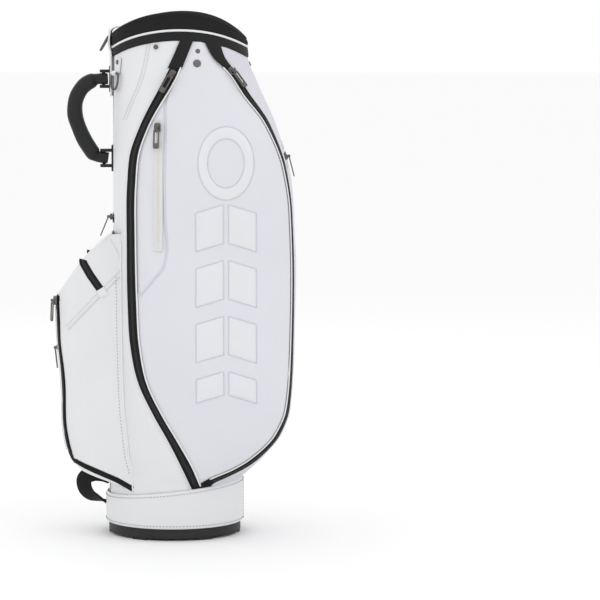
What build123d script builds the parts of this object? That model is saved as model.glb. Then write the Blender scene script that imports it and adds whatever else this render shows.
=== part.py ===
"""Golf staff bag: nine-inch round tour bag that stands on its own base.

Axes: +Z up, origin on the floor under the middle of the base.
The front panel faces -Y, the spine with the grab handle and the ball pocket is at +Y.
All sizes in millimetres.
"""
from build123d import *
from math import cos, pi, radians, sin
import os

os.makedirs("parts", exist_ok=True)

# ---------------------------------------------------------------- driving sizes
SKIN = 3.0                 # sewn wall: face material, foam and backing
OVERALL_HEIGHT = 880.0
FAR = 450.0                # half length of cutting prisms, larger than the bag
SECTION_STEP = 32.0

BASE_RADIUS = 111.5        # visible black base moulding
BAND_RADIUS = 116.0        # leather band wrapped round the base
BAND_WALL = 3.0
BAND_BOTTOM = 20.0
BAND_TOP_FRONT = 95.5      # the band is taller at the front than at the spine
BAND_TOP_BACK = 70.5
CUP_TOP = 66.0
CUP_WALL = 3.5
CUP_FLOOR = 12.0
PAD_RADIUS = 62.0
RIM_LIFT = 3.0
LUG_COUNT = 6

TUBE_RADIUS = 97.0
TUBE_WALL = 1.5
FRAME_MOUTH = 93.5         # round opening of the top frame
FRAME_BOTTOM = 780.0
FRAME_PLATE_TOP = 804.0
FRAME_WALL = 5.0
BAR = 10.0
DIVIDER = 1.5
ROW_BACK = 28.0            # cross bars of the six-way top
ROW_FRONT = -38.0

PAD_OUT = 2.0              # collar padding stands proud of the sewn wall
PAD_IN = 14.0
PIPING_RISE = 4.0

STRIP_HALF = 21.0          # spine strip
STRIP_BOTTOM = 738
STRIP_ON_WALL = 816         # below this the strip lies on the skin, above it on the padding
STRIP_THICK = 2.5

ZIP_CLEAR = 1.2            # air under a zip slider
ZIP_WIDTH = 14.5           # zip tape showing between two panels
SEWN_ON = 1.2              # flaps and tapes lying on top of the sewn wall
GARAGE_BOTTOM = 789.0      # lower end of the flaps that cover the zip tops
FRONT_ZIP_Z = 639.0
FRONT_ZIP_HEIGHT = 15.0
FRONT_ZIP_HALF = 76.0
LANE_Y = 20.0              # upright zip on each side pocket
LANE_WIDTH = 14.0
LANE_TOP = 700.0
LANE_BOTTOM = 487.0
BACK_ZIP_Z = 535.0
BACK_ZIP_HALF = 42.0
POCKET_CORNER = 38.0
DOOR_HALF = 66.0           # ball pocket door between its zips
DOOR_ZIP = 13.0
DOOR_TOP = 409.0
DOOR_SLIDER_GAP = 0.6       # keeps the door slider off the tape where the pocket swells
ACCESSORY_ZIP_Z = 318.0
ACCESSORY_ZIP_HALF = 46.0
WEBBING = 3.0
LOOP_WIDTH = 30.0
HANDLE_TOP = 767.0         # hinge knuckles of the grab handle
HANDLE_LOW = 634.0
PIN_Y = 117.0
KNUCKLE = 20.0
ANCHOR_WIDTH = 34.0
ANCHOR_HEIGHT = 44.0
ANCHOR_THICK = 2.5
LUG_RADIUS = 6.5
LUG_THICK = 5.0
PIN_RADIUS = 3.0
BARREL_RADIUS = 8.0
NECK_RADIUS = 8.0
GRIP_DEPTH = 24.0
GRIP_WIDTH = 28.0
SLIDER_LENGTH = 15.0
SLIDER_WIDTH = 10.0
SLIDER_HEIGHT = 3.2
PIN_LIFT = 2.9             # pull pin above the slider
PULL_PIN_Z = ZIP_CLEAR + SLIDER_HEIGHT + PIN_LIFT
PULL_PIN = 0.9
PULL_LENGTH = 38.0
PULL_WIDTH = 10.0
PULL_THICK = 1.8
PULL_RAIL = 2.2
EYE_HALF = 2.1
EYE_RADIUS = 2.4
EAR = 1.2
RIVET = 4.0
SNAP = 6.5
RIVET_RISE = 1.6
HEAD_GAP = 0.25             # rivet and snap heads stand just clear of the curved skin
TAB_WIDTH = 20.0
TAB_UP = 13.0
TAB_DROP = 13.0
TAB_THICK = 1.8
WIRE = 1.9                 # radius of the ring wire
BAR_HALF = 7.0
BAR_HEIGHT = 4.8           # ring bar above the skin
RING_HALF = 14.0
RING_DROP = 27.0
RING_Z = 838.0
TOP_RING_LEAN = 30.0
BACK_PULL_LEAN = 22.0      # this pull rests clear of the ball pocket shoulder
LEVEL_ZIPS = ("front_zip", "back_zip", "accessory_zip")
LUG_RADIAL = 24.0
LUG_WIDTH = 26.0
LUG_SOCKET = 6.0
CLEAR = 0.4                # running clearance of rings, pins and pulls
SEAM = 0.06                # air between pieces laid on a curved wall


# ---------------------------------------------------------------- body envelope
def section(z, half, front, back, widest, full_front, full_back):
    """One horizontal cross-section of the filled bag."""
    return dict(z=z, half=half, front=front, back=back, widest=widest,
                full_front=full_front, full_back=full_back)


BODY = (
    section(z=CUP_TOP, half=112, front=112, back=111, widest=0, full_front=0.552, full_back=0.552),
    section(z=92, half=112.5, front=112.5, back=110.5, widest=0, full_front=0.60, full_back=0.552),
    section(z=108, half=116, front=126, back=110, widest=-10, full_front=0.80, full_back=0.56),
    section(z=140, half=123, front=156, back=109, widest=-25, full_front=1.00, full_back=0.62),
    section(z=178, half=130, front=184, back=107.5, widest=-40, full_front=1.08, full_back=0.66),
    section(z=222, half=136, front=197.5, back=106.5, widest=-50, full_front=1.12, full_back=0.70),
    section(z=300, half=143, front=202.5, back=105, widest=-58, full_front=1.12, full_back=0.72),
    section(z=437, half=146, front=204.5, back=103, widest=-60, full_front=1.12, full_back=0.72),
    section(z=550, half=144, front=201, back=101.5, widest=-60, full_front=1.12, full_back=0.72),
    section(z=620, half=139, front=192, back=101, widest=-55, full_front=1.10, full_back=0.72),
    section(z=690, half=130.5, front=171, back=101, widest=-40, full_front=1.00, full_back=0.68),
    section(z=762, half=118.5, front=141, back=101, widest=-20, full_front=0.78, full_back=0.63),
    section(z=805, half=109, front=125, back=101, widest=-11, full_front=0.65, full_back=0.58),
    section(z=848, half=105.5, front=122.5, back=101.5, widest=-11, full_front=0.552, full_back=0.552),
    section(z=890, half=105.5, front=122.5, back=101.5, widest=-11, full_front=0.552, full_back=0.552),
)


def outline(s, inset):
    """Closed outline of a cross-section, moved inwards by the inset."""
    a = s["half"] - inset
    f = s["front"] - inset
    b = s["back"] - inset
    w = s["widest"]
    kf = s["full_front"]
    kb = s["full_back"]
    Bezier((0, -f), (kf * a, -f), (a, w - kf * (f + w)), (a, w))
    Bezier((a, w), (a, w + kb * (b - w)), (kb * a, b), (0, b))
    Bezier((0, b), (-kb * a, b), (-a, w + kb * (b - w)), (-a, w))
    Bezier((-a, w), (-a, w - kf * (f + w)), (-kf * a, -f), (0, -f))


def blend_at(z, key):
    """Value of one section dimension at a height, eased smoothly between the listed sections."""
    heights = [s["z"] for s in BODY]
    values = [s[key] for s in BODY]
    slopes = [(values[i + 1] - values[i]) / (heights[i + 1] - heights[i]) for i in range(len(BODY) - 1)]
    grades = [slopes[0]]
    for before, after in zip(slopes, slopes[1:]):
        grades.append(0 if before * after <= 0 else 2 * before * after / (before + after))
    grades.append(slopes[-1])
    i = max(k for k in range(len(BODY) - 1) if heights[k] <= z + 0.001)
    step = heights[i + 1] - heights[i]
    t = (z - heights[i]) / step
    rise = values[i + 1] - values[i]
    return (values[i] + step * grades[i] * t * (1 - t) ** 2 + rise * t * t * (3 - 2 * t)
            - step * grades[i + 1] * t * t * (1 - t))


def even_sections():
    """The body sections again, evenly spaced from the cup to above the rim."""
    count = round((BODY[-1]["z"] - CUP_TOP) / SECTION_STEP)
    for k in range(count + 1):
        z = CUP_TOP + (BODY[-1]["z"] - CUP_TOP) * k / count
        yield {key: z if key == "z" else blend_at(z, key) for key in BODY[0]}


def body_solid(inset):
    """The whole filled bag body, its wall moved inwards by the inset."""
    with BuildPart() as solid:
        for s in even_sections():
            with BuildSketch(Plane.XY.offset(s["z"])):
                with BuildLine():
                    outline(s, inset)
                make_face()
        loft()
    return solid.part


def collar_ring(outer, inner, bottom, top):
    """Upright ring that follows the collar outline."""
    with BuildPart() as ring:
        with BuildSketch(Plane.XY.offset(bottom)):
            with BuildLine():
                outline(BODY[-1], outer)
            make_face()
        extrude(amount=top - bottom)
        with BuildSketch(Plane.XY.offset(bottom)):
            with BuildLine():
                outline(BODY[-1], inner)
            make_face()
        extrude(amount=top - bottom, mode=Mode.SUBTRACT)
    return ring.part


def saddle(back, side, front, floor, reach=FAR):
    """Prism below a saddle line: the line is high over the sides, lower at spine and front."""
    with BuildPart() as prism:
        with BuildSketch(Plane.YZ):
            with BuildLine():
                top = Spline((104, back), (62, (back + 2 * side) / 3 - 1), (-12, side),
                             (-84, (front + 2 * side) / 3), (-125, front))
                Polyline(top @ 1, (-FAR, front), (-FAR, floor), (FAR, floor), (FAR, back), top @ 0)
            make_face()
        extrude(amount=reach, both=True)
    return prism.part


WALL_OUT = body_solid(0)
WALL_IN = body_solid(SKIN)
WALL_SEAM = body_solid(-SEAM)
with BuildPart() as sewn:
    add(WALL_OUT)
    add(WALL_IN, mode=Mode.SUBTRACT)
SEWN_WALL = sewn.part

# collar lines: top of the padding, piping line, lower edge of the black band
RIM_LINE = saddle(846, 880, 838, 0)
PIPING_LINE = saddle(818, 850, 820, 0)
UNDER_PIPING_LINE = saddle(818 - PIPING_RISE, 850 - PIPING_RISE, 820 - PIPING_RISE, 0)
HEM_LINE = saddle(803, 833, 802, 0)


# ---------------------------------------------------------------- panel outlines
def side_prism(points, tail, reach=FAR, side=-1):
    """Prism across one side of the bag: a smooth edge line closed by straight edges."""
    with BuildPart() as prism:
        with BuildSketch(Plane.YZ):
            with BuildLine():
                edge = Spline(*points)
                Polyline(edge @ 1, *tail, edge @ 0)
            make_face()
        extrude(amount=side * reach)
    return prism.part


# side pocket zips: each is the lane between an outer and an inner edge line
REAR_OUTER = ((-22, 840), (5, 781), (52, 690), (67, 650), (73, 595), (74, 500), (73, 400),
              (69, 330), (56, 268), (28, 213), (0, 168), (-25, 125), (-50, 66))
REAR_INNER = ((-38, 840), (-11, 774), (37, 688), (51, 650), (57, 595), (58, 500), (56, 400),
              (52, 330), (40, 268), (14, 213), (-12, 168), (-35, 125), (-56, 66))

# front corner of the body, looked at along the diagonal between side and front
CORNER = Plane(origin=(0, 0, 0), x_dir=(1, -1, 0), z_dir=(-1, -1, 0))


def corner(x, y, z, shift=0):
    """Corner-plane position of a point x out to the side and y out to the front."""
    return ((y - x) / 2 ** 0.5 - shift, z)


def fore_edge(shift):
    """Edge of the front zip tape, moved towards the side pocket by the shift."""
    return (corner(86, 70, 840, shift), corner(88, 84, 805, shift), corner(90, 110, 778, shift),
            corner(91, 132, 740, shift), corner(94, 163, 700, shift), corner(96, 183, 655, shift),
            corner(98.5, 196, 595, shift), corner(102, 203, 500, shift), corner(104, 204.5, 400, shift),
            corner(104, 202.5, 300, shift), corner(102.5, 194, 210, shift), corner(99, 176, 170, shift),
            corner(94, 152, 143, shift), corner(89, 118, 121, shift), corner(90, 84, 105, shift),
            corner(96, 64, 88, shift), corner(98, 58, 66, shift))


def corner_prism(points):
    """Prism over the front of the bag, bounded by an edge line on its left front corner."""
    with BuildPart() as prism:
        with BuildSketch(CORNER):
            with BuildLine():
                edge = Spline(*points)
                Polyline(edge @ 1, (FAR, 66), (FAR, 840), edge @ 0)
            make_face()
        extrude(amount=FAR)
    return prism.part


BEHIND_REAR = side_prism(REAR_OUTER, ((FAR, 66), (FAR, 840)))
BEHIND_POCKET = side_prism(REAR_INNER, ((FAR, 66), (FAR, 840)))
AHEAD_POCKET = corner_prism(fore_edge(ZIP_WIDTH))
AHEAD_FORE = corner_prism(fore_edge(0))

with BuildPart() as half_wall:
    add(SEWN_WALL)
    add(HEM_LINE, mode=Mode.INTERSECT)
    with Locations((-FAR / 2, 0, 0)):
        Box(FAR, 2 * FAR, 4 * FAR, mode=Mode.INTERSECT)
LEFT_WALL = half_wall.part


def save(part, name):
    part.label = name
    export_step(part, "parts/" + name + ".step")


def save_pair(part, name):
    """A piece on the left of the bag and its mirror image on the right."""
    save(part, name + "_left")
    with BuildPart() as twin:
        add(part)
        mirror(about=Plane.YZ, mode=Mode.REPLACE)
    save(twin.part, name + "_right")


with BuildPart() as back_quarter:
    add(LEFT_WALL)
    add(BEHIND_REAR, mode=Mode.INTERSECT)
    Box(2 * STRIP_HALF, 2 * FAR, 4 * FAR, mode=Mode.SUBTRACT)

with BuildPart() as rear_zip_tape:
    add(LEFT_WALL)
    add(BEHIND_POCKET, mode=Mode.INTERSECT)
    add(BEHIND_REAR, mode=Mode.SUBTRACT)
    add(AHEAD_POCKET, mode=Mode.SUBTRACT)

with BuildPart() as side_pocket:
    add(LEFT_WALL)
    add(BEHIND_POCKET, mode=Mode.SUBTRACT)
    add(AHEAD_POCKET, mode=Mode.SUBTRACT)

with BuildPart() as fore_zip_tape:
    add(LEFT_WALL)
    add(AHEAD_POCKET, mode=Mode.INTERSECT)
    add(AHEAD_FORE, mode=Mode.SUBTRACT)
    add(BEHIND_POCKET, mode=Mode.SUBTRACT)

with BuildPart() as front_panel:
    add(LEFT_WALL)
    add(AHEAD_FORE, mode=Mode.INTERSECT)
    add(BEHIND_POCKET, mode=Mode.SUBTRACT)
    mirror(about=Plane.YZ)
    with Locations((0, -FAR, FRONT_ZIP_Z)):
        Box(2 * FRONT_ZIP_HALF, 2 * FAR, FRONT_ZIP_HEIGHT, mode=Mode.SUBTRACT)

with BuildPart() as front_zip_tape:
    add(SEWN_WALL)
    with Locations((0, -FAR, FRONT_ZIP_Z)):
        Box(2 * FRONT_ZIP_HALF, 2 * FAR, FRONT_ZIP_HEIGHT, mode=Mode.INTERSECT)

with BuildPart() as spine_panel:
    add(SEWN_WALL)
    add(HEM_LINE, mode=Mode.INTERSECT)
    with Locations((0, FAR, 0)):
        Box(2 * STRIP_HALF, 2 * FAR, 4 * FAR, mode=Mode.INTERSECT)

save_pair(back_quarter.part, "back_quarter")
save_pair(rear_zip_tape.part, "rear_zip_tape")
save_pair(side_pocket.part, "side_pocket")
save_pair(fore_zip_tape.part, "fore_zip_tape")
save(front_panel.part, "front_panel")
save(front_zip_tape.part, "front_zip_tape")
save(spine_panel.part, "spine_panel")

# thin layer lying on the sewn wall, cut up for the flaps and the sewn-on tapes
with BuildPart() as surface_layer:
    add(body_solid(-SEWN_ON))
    add(WALL_OUT, mode=Mode.SUBTRACT)
SURFACE_LAYER = surface_layer.part

with BuildPart() as flap_layer:
    add(SURFACE_LAYER)
    add(HEM_LINE, mode=Mode.INTERSECT)
    with Locations((-FAR / 2, 0, GARAGE_BOTTOM + FAR)):
        Box(FAR, 2 * FAR, 2 * FAR, mode=Mode.INTERSECT)

with BuildPart() as rear_flap:
    add(flap_layer.part)
    add(BEHIND_POCKET, mode=Mode.INTERSECT)
    add(BEHIND_REAR, mode=Mode.SUBTRACT)

with BuildPart() as zip_garages:
    add(flap_layer.part)
    add(AHEAD_POCKET, mode=Mode.INTERSECT)
    add(AHEAD_FORE, mode=Mode.SUBTRACT)
    add(rear_flap.part)
    mirror(about=Plane.YZ)
save(zip_garages.part, "zip_garages")

with BuildPart() as lane_zip_tape:
    add(SURFACE_LAYER)
    with Locations((-FAR / 2, LANE_Y, (LANE_TOP + LANE_BOTTOM) / 2)):
        Box(FAR, LANE_WIDTH, LANE_TOP - LANE_BOTTOM, mode=Mode.INTERSECT)
save_pair(lane_zip_tape.part, "lane_zip_tape")

with BuildPart() as back_zip_tape:
    add(SURFACE_LAYER)
    with Locations((0, FAR / 2, BACK_ZIP_Z)):
        Box(2 * BACK_ZIP_HALF, FAR, ZIP_WIDTH, mode=Mode.INTERSECT)
save(back_zip_tape.part, "back_zip_tape")


# ---------------------------------------------------------------- base
with BuildPart() as base_cup:
    with BuildSketch(Plane.XY.offset(RIM_LIFT)):
        Circle(BASE_RADIUS)
    extrude(amount=BAND_BOTTOM - RIM_LIFT)
    fillet(base_cup.edges().group_by(Axis.Z)[0], 2.5)
    with BuildSketch(Plane.XY.offset(BAND_BOTTOM)):
        Circle(BAND_RADIUS - BAND_WALL)
    extrude(amount=CUP_TOP - BAND_BOTTOM)
    with BuildSketch(Plane.XY.offset(CUP_FLOOR)):
        Circle(BAND_RADIUS - BAND_WALL - CUP_WALL)
    extrude(amount=CUP_TOP, mode=Mode.SUBTRACT)
    with BuildSketch():
        Circle(PAD_RADIUS)
    extrude(amount=RIM_LIFT)
    with BuildSketch():
        with PolarLocations(BASE_RADIUS - LUG_RADIAL / 2 - 1, LUG_COUNT, start_angle=30):
            Rectangle(LUG_RADIAL + CLEAR, LUG_WIDTH + CLEAR)
    extrude(amount=LUG_SOCKET, mode=Mode.SUBTRACT)
save(base_cup.part, "base_cup")

with BuildPart() as base_lugs:
    with BuildSketch():
        with PolarLocations(BASE_RADIUS - LUG_RADIAL / 2 - 1, LUG_COUNT, start_angle=30):
            Rectangle(LUG_RADIAL, LUG_WIDTH)
    extrude(amount=LUG_SOCKET)
    chamfer(base_lugs.edges().group_by(Axis.Z)[0], 0.8)
save(base_lugs.part, "base_lugs")

with BuildPart() as base_band:
    with BuildSketch(Plane.XY.offset(BAND_BOTTOM)):
        Circle(BAND_RADIUS)
        Circle(BAND_RADIUS - BAND_WALL, mode=Mode.SUBTRACT)
    extrude(amount=BAND_TOP_FRONT)
    with BuildSketch(Plane.YZ):
        with BuildLine():
            Polyline((-FAR, BAND_TOP_FRONT), (-BAND_RADIUS, BAND_TOP_FRONT), (BAND_RADIUS, BAND_TOP_BACK),
                     (FAR, BAND_TOP_BACK), (FAR, 0), (-FAR, 0), close=True)
        make_face()
    extrude(amount=FAR, both=True, mode=Mode.INTERSECT)
    add(WALL_SEAM, mode=Mode.SUBTRACT)
save(base_band.part, "base_band")

# ---------------------------------------------------------------- inside
with BuildPart() as body_tube:
    with BuildSketch(Plane.XY.offset(CUP_FLOOR)):
        Circle(TUBE_RADIUS)
        Circle(TUBE_RADIUS - TUBE_WALL, mode=Mode.SUBTRACT)
    extrude(amount=FRAME_BOTTOM - CUP_FLOOR)
save(body_tube.part, "body_tube")

with BuildPart() as dividers:
    with BuildSketch(Plane.XY.offset(CUP_FLOOR)):
        Rectangle(DIVIDER, 2 * TUBE_RADIUS)
        with Locations((0, ROW_BACK), (0, ROW_FRONT)):
            Rectangle(2 * TUBE_RADIUS, DIVIDER)
        Circle(TUBE_RADIUS - TUBE_WALL, mode=Mode.INTERSECT)
    extrude(amount=FRAME_BOTTOM - CUP_FLOOR)
save(dividers.part, "club_dividers")

with BuildPart() as top_frame:
    with BuildSketch(Plane.XY.offset(FRAME_BOTTOM)):
        with BuildLine():
            outline(BODY[-1], SKIN)
        make_face()
    extrude(amount=OVERALL_HEIGHT)
    add(RIM_LINE.moved(Location((0, 0, -8))), mode=Mode.INTERSECT)
    add(WALL_IN, mode=Mode.INTERSECT)
    with BuildSketch(Plane.XY.offset(FRAME_PLATE_TOP)) as mouth:
        with BuildLine():
            outline(BODY[-1], PAD_IN)
        make_face()
    extrude(amount=FAR, mode=Mode.SUBTRACT)
    with BuildSketch(Plane.XY.offset(FRAME_BOTTOM)):
        Circle(FRAME_MOUTH)
    extrude(amount=FRAME_PLATE_TOP - FRAME_BOTTOM, mode=Mode.SUBTRACT)
save(top_frame.part, "top_frame")

# the bars between the club compartments: two across, and three short ones front to back between them
with BuildPart() as divider_bars:
    with BuildSketch(Plane.XY.offset(FRAME_BOTTOM)):
        Circle(FRAME_MOUTH - SEAM)
        with BuildSketch(mode=Mode.INTERSECT):
            Rectangle(BAR, 2 * TUBE_RADIUS)
            with Locations((0, ROW_BACK), (0, ROW_FRONT)):
                Rectangle(2 * TUBE_RADIUS, BAR + 2 * SEAM, mode=Mode.SUBTRACT)
                Rectangle(2 * TUBE_RADIUS, BAR)
    extrude(amount=FRAME_PLATE_TOP - FRAME_BOTTOM)
save(divider_bars.part, "divider_bars")

# ---------------------------------------------------------------- collar
def strip_run(grow):
    """Solid run of the strip over the back of the rim; it presses into the padding."""
    with BuildPart() as run:
        with BuildSketch(Plane.YZ):
            with BuildLine():
                outer_run = Polyline((100, STRIP_BOTTOM), (104.2, STRIP_BOTTOM), (104.2, 814), (106.2, 817),
                                     (106.2, 847), (103.5, 850.5), (90, 853.5), (82.5, 851.5), (82.5, 806),
                                     (85, 806), (85, 840), (100, 840))
                Line(outer_run @ 1, outer_run @ 0)
            make_face()
            if grow:
                offset(amount=grow, kind=Kind.INTERSECTION)
        extrude(amount=STRIP_HALF + grow, both=True)
    return run.part


STRIP_ROOM = strip_run(SEAM)

with BuildPart() as collar_pad:
    add(collar_ring(-PAD_OUT, PAD_IN, 780, 890))
    add(RIM_LINE, mode=Mode.INTERSECT)
    add(PIPING_LINE, mode=Mode.SUBTRACT)
    add(top_frame.part, mode=Mode.SUBTRACT)
    add(STRIP_ROOM, mode=Mode.SUBTRACT)
save(collar_pad.part, "collar_pad")

with BuildPart() as collar_piping:
    add(collar_ring(-PAD_OUT, SKIN, 780, 890))
    add(PIPING_LINE, mode=Mode.INTERSECT)
    add(UNDER_PIPING_LINE, mode=Mode.SUBTRACT)
    add(STRIP_ROOM, mode=Mode.SUBTRACT)
save(collar_piping.part, "collar_piping")

with BuildPart() as collar_band:
    add(SEWN_WALL)
    add(UNDER_PIPING_LINE, mode=Mode.INTERSECT)
    add(HEM_LINE, mode=Mode.SUBTRACT)
    with Locations((0, 0, FRAME_BOTTOM + FAR)):
        Box(2 * FAR, 2 * FAR, 2 * FAR, mode=Mode.INTERSECT)
save(collar_band.part, "collar_band")

# spine strip: up the back, over the rim and down inside the mouth
WALL_UNDER_STRIP = WALL_OUT & Box(2 * FAR, 2 * FAR, 2 * STRIP_ON_WALL)
with BuildPart() as spine_strip:
    add(strip_run(0))
    add(WALL_UNDER_STRIP, mode=Mode.SUBTRACT)
    add(top_frame.part, mode=Mode.SUBTRACT)
    add(collar_band.part, mode=Mode.SUBTRACT)
save(spine_strip.part, "spine_strip")


# ---------------------------------------------------------------- ball pocket
def pocket_section(z, half, depth):
    """One horizontal cross-section of the ball pocket."""
    return dict(z=z, half=half, depth=depth)


POCKET = (
    pocket_section(z=60, half=92, depth=160),
    pocket_section(z=120, half=92, depth=168),
    pocket_section(z=161, half=93, depth=179),
    pocket_section(z=200, half=94, depth=184),
    pocket_section(z=282, half=95, depth=187),
    pocket_section(z=343, half=95, depth=193),
    pocket_section(z=403, half=94, depth=196),
    pocket_section(z=520, half=90, depth=196),
)


def pocket_outline(s, grow):
    """Rounded outline of the ball pocket, its open end buried in the bag."""
    a = s["half"] + grow
    d = s["depth"] + grow
    r = POCKET_CORNER
    right = Line((a + 3, 20), (a, d - r))
    RadiusArc(right @ 1, (a - r, d), -r)
    Line((a - r, d), (-a + r, d))
    RadiusArc((-a + r, d), (-a, d - r), -r)
    left = Line((-a, d - r), (-a - 3, 20))
    Line(left @ 1, right @ 0)


def pocket_solid(grow):
    """Filled ball pocket, grown outwards by the given amount."""
    with BuildPart() as solid:
        for s in POCKET:
            with BuildSketch(Plane.XY.offset(s["z"])):
                with BuildLine():
                    pocket_outline(s, grow)
                make_face()
        loft()
        with BuildSketch(Plane.YZ):
            with BuildLine():
                shoulder = Polyline((0, 513), (99, 513), (134, 484), (154, 464), (168, 444), (184, 420),
                                    (192, 412), (FAR, 404))
                bottom = Polyline((FAR, 132), (160, 124), (152, 116), (57, 76), (0, 66))
                Line(shoulder @ 1, bottom @ 0)
                Line(bottom @ 1, shoulder @ 0)
            make_face()
            offset(amount=grow, kind=Kind.INTERSECTION)
        extrude(amount=FAR, both=True, mode=Mode.INTERSECT)
    return solid.part


POCKET_OUT = pocket_solid(0)
with BuildPart() as pocket_wall:
    add(POCKET_OUT)
    add(pocket_solid(-SKIN), mode=Mode.SUBTRACT)
    add(WALL_SEAM, mode=Mode.SUBTRACT)
    with Locations((0, FAR + 30, 0)):
        Box(2 * FAR, 2 * FAR, 4 * FAR, mode=Mode.INTERSECT)

# lanes of the pocket zips: door sides, lower edge, and across the shoulder
with BuildPart() as door_lane:
    door_lane_x = DOOR_HALF + DOOR_ZIP / 2
    door_lane_z = (DOOR_TOP + 60) / 2
    with Locations((-door_lane_x, 160, door_lane_z), (door_lane_x, 160, door_lane_z)):
        Box(DOOR_ZIP, 100, DOOR_TOP - 60)
    with BuildSketch(Plane.YZ):
        Polygon((50, 40), (210, 40), (210, 140), (160, 138), (50, 89), align=None)
    extrude(amount=FAR, both=True)
    Box(2 * DOOR_HALF, 2 * FAR, 4 * FAR, mode=Mode.SUBTRACT)
with BuildPart() as shoulder_lane:
    with BuildSketch(Plane.YZ):
        Polygon((144, 485), (168, 466), (127, 419), (114, 428), align=None)
    extrude(amount=FAR, both=True)
with BuildPart() as door_block:
    with Locations((0, 170, (DOOR_TOP + 60) / 2)):
        Box(2 * DOOR_HALF, 60, DOOR_TOP - 60)

with BuildPart() as ball_pocket:
    add(pocket_wall.part)
    add(door_lane.part, mode=Mode.SUBTRACT)
    add(shoulder_lane.part, mode=Mode.SUBTRACT)
    add(door_block.part, mode=Mode.SUBTRACT)
save(ball_pocket.part, "ball_pocket")

with BuildPart() as ball_pocket_door:
    add(pocket_wall.part)
    add(door_block.part, mode=Mode.INTERSECT)
save(ball_pocket_door.part, "ball_pocket_door")

with BuildPart() as door_zip_tape:
    add(pocket_wall.part)
    add(door_lane.part, mode=Mode.INTERSECT)

with BuildPart() as shoulder_zip_tape:
    add(pocket_wall.part)
    add(shoulder_lane.part, mode=Mode.INTERSECT)

with BuildPart() as accessory_zip_tape:
    add(pocket_solid(SEWN_ON))
    add(POCKET_OUT, mode=Mode.SUBTRACT)
    with Locations((0, 170, ACCESSORY_ZIP_Z)):
        Box(2 * ACCESSORY_ZIP_HALF, 100, ZIP_WIDTH, mode=Mode.INTERSECT)

with BuildPart() as ball_pocket_zips:
    add(door_zip_tape.part)
    add(shoulder_zip_tape.part)
    add(accessory_zip_tape.part)
save(ball_pocket_zips.part, "ball_pocket_zips")

# lower grab loop of webbing under the ball pocket
with BuildPart() as lower_loop:
    with BuildSketch(Plane.YZ):
        with BuildLine() as loop_path:
            run = Spline((111, 84), (136, 97), (154, 88), (150, 68), (134, 57), (116, 50))
        trace(line_width=WEBBING)
    extrude(amount=LOOP_WIDTH / 2, both=True)
    add(WALL_OUT, mode=Mode.SUBTRACT)
    add(base_band.part, mode=Mode.SUBTRACT)
    with BuildSketch():
        Circle(BAND_RADIUS)
    extrude(amount=66, mode=Mode.SUBTRACT)
save(lower_loop.part, "lower_loop")

# ---------------------------------------------------------------- grab handle
with BuildPart() as handle_anchors:
    for z, face in ((HANDLE_TOP, 104.2), (HANDLE_LOW, 101)):
        with BuildSketch(Plane.XZ.offset(-face)):
            with Locations((0, z)):
                RectangleRounded(ANCHOR_WIDTH, ANCHOR_HEIGHT, 5)
        extrude(amount=-ANCHOR_THICK)
        for lug in (z - KNUCKLE / 2 - CLEAR - LUG_THICK, z + KNUCKLE / 2 + CLEAR):
            with BuildSketch(Plane.XY.offset(lug)):
                with Locations((0, PIN_Y)):
                    Circle(LUG_RADIUS)
                with Locations((0, (PIN_Y + face + 1) / 2)):
                    Rectangle(2 * LUG_RADIUS, PIN_Y - face - 1)
            extrude(amount=LUG_THICK)
        with BuildSketch(Plane.XY.offset(z - KNUCKLE / 2 - 1)):
            with Locations((0, PIN_Y)):
                Circle(PIN_RADIUS)
        extrude(amount=KNUCKLE + 2)
    add(WALL_OUT, mode=Mode.SUBTRACT)
save(handle_anchors.part, "handle_anchors")

with BuildPart() as grab_handle:
    with BuildLine(Plane.YZ) as arm:
        run = Spline((PIN_Y, HANDLE_TOP), (130, 766), (148, 757), (162, 737), (165.5, 709), (158, 683),
                     (144, 655), (129, 637), (PIN_Y, HANDLE_LOW), tangents=((1, 0), (-1, 0)))
    with BuildSketch(Plane(origin=run @ 0, z_dir=run % 0)):
        Circle(NECK_RADIUS)
    sweep(path=run)
    grip = run.trim(0.09, 0.9)
    with BuildSketch(Plane(origin=grip @ 0, x_dir=(1, 0, 0), z_dir=grip % 0)):
        Ellipse(GRIP_WIDTH / 2, GRIP_DEPTH / 2)
    sweep(path=grip)
    for z in (HANDLE_TOP, HANDLE_LOW):
        with BuildSketch(Plane.XY.offset(z - KNUCKLE / 2)):
            with Locations((0, PIN_Y)):
                Circle(BARREL_RADIUS)
        extrude(amount=KNUCKLE)
    for z in (HANDLE_TOP, HANDLE_LOW):
        with BuildSketch(Plane.XY.offset(z - KNUCKLE)):
            with Locations((0, PIN_Y)):
                Circle(PIN_RADIUS + CLEAR)
        extrude(amount=2 * KNUCKLE, mode=Mode.SUBTRACT)
save(grab_handle.part, "grab_handle")


# ---------------------------------------------------------------- small hardware
def skin_plane(x, y, z, surface=WALL_OUT):
    """Plane on the bag where a level line from (0, y, z) towards side x, or from (x, 0, z)
    towards the front or back, leaves it: z outwards, y up along the skin."""
    if x in (-1, 1):
        ray = Axis((0, y, z), (x, 0, 0))
    else:
        ray = Axis((x, 0, z), (0, y, 0))
    hits = surface.find_intersection_points(ray)
    reach = [h for h in hits if (h[0] - ray.position).dot(ray.direction) > 0]
    point, normal = max(reach, key=lambda h: (h[0] - ray.position).length)
    if normal.dot(ray.direction) < 0:
        normal = -normal
    return Plane(origin=point, x_dir=Vector(0, 0, 1).cross(normal), z_dir=normal)


def lifted(plane):
    """The same plane on top of a sewn-on tape."""
    return plane.offset(SEWN_ON)


def turned(plane, degrees):
    """The same plane turned about its outward direction."""
    return Plane(origin=plane.origin, x_dir=plane.x_dir.rotate(Axis((0, 0, 0), plane.z_dir), degrees),
                 z_dir=plane.z_dir)


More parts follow.
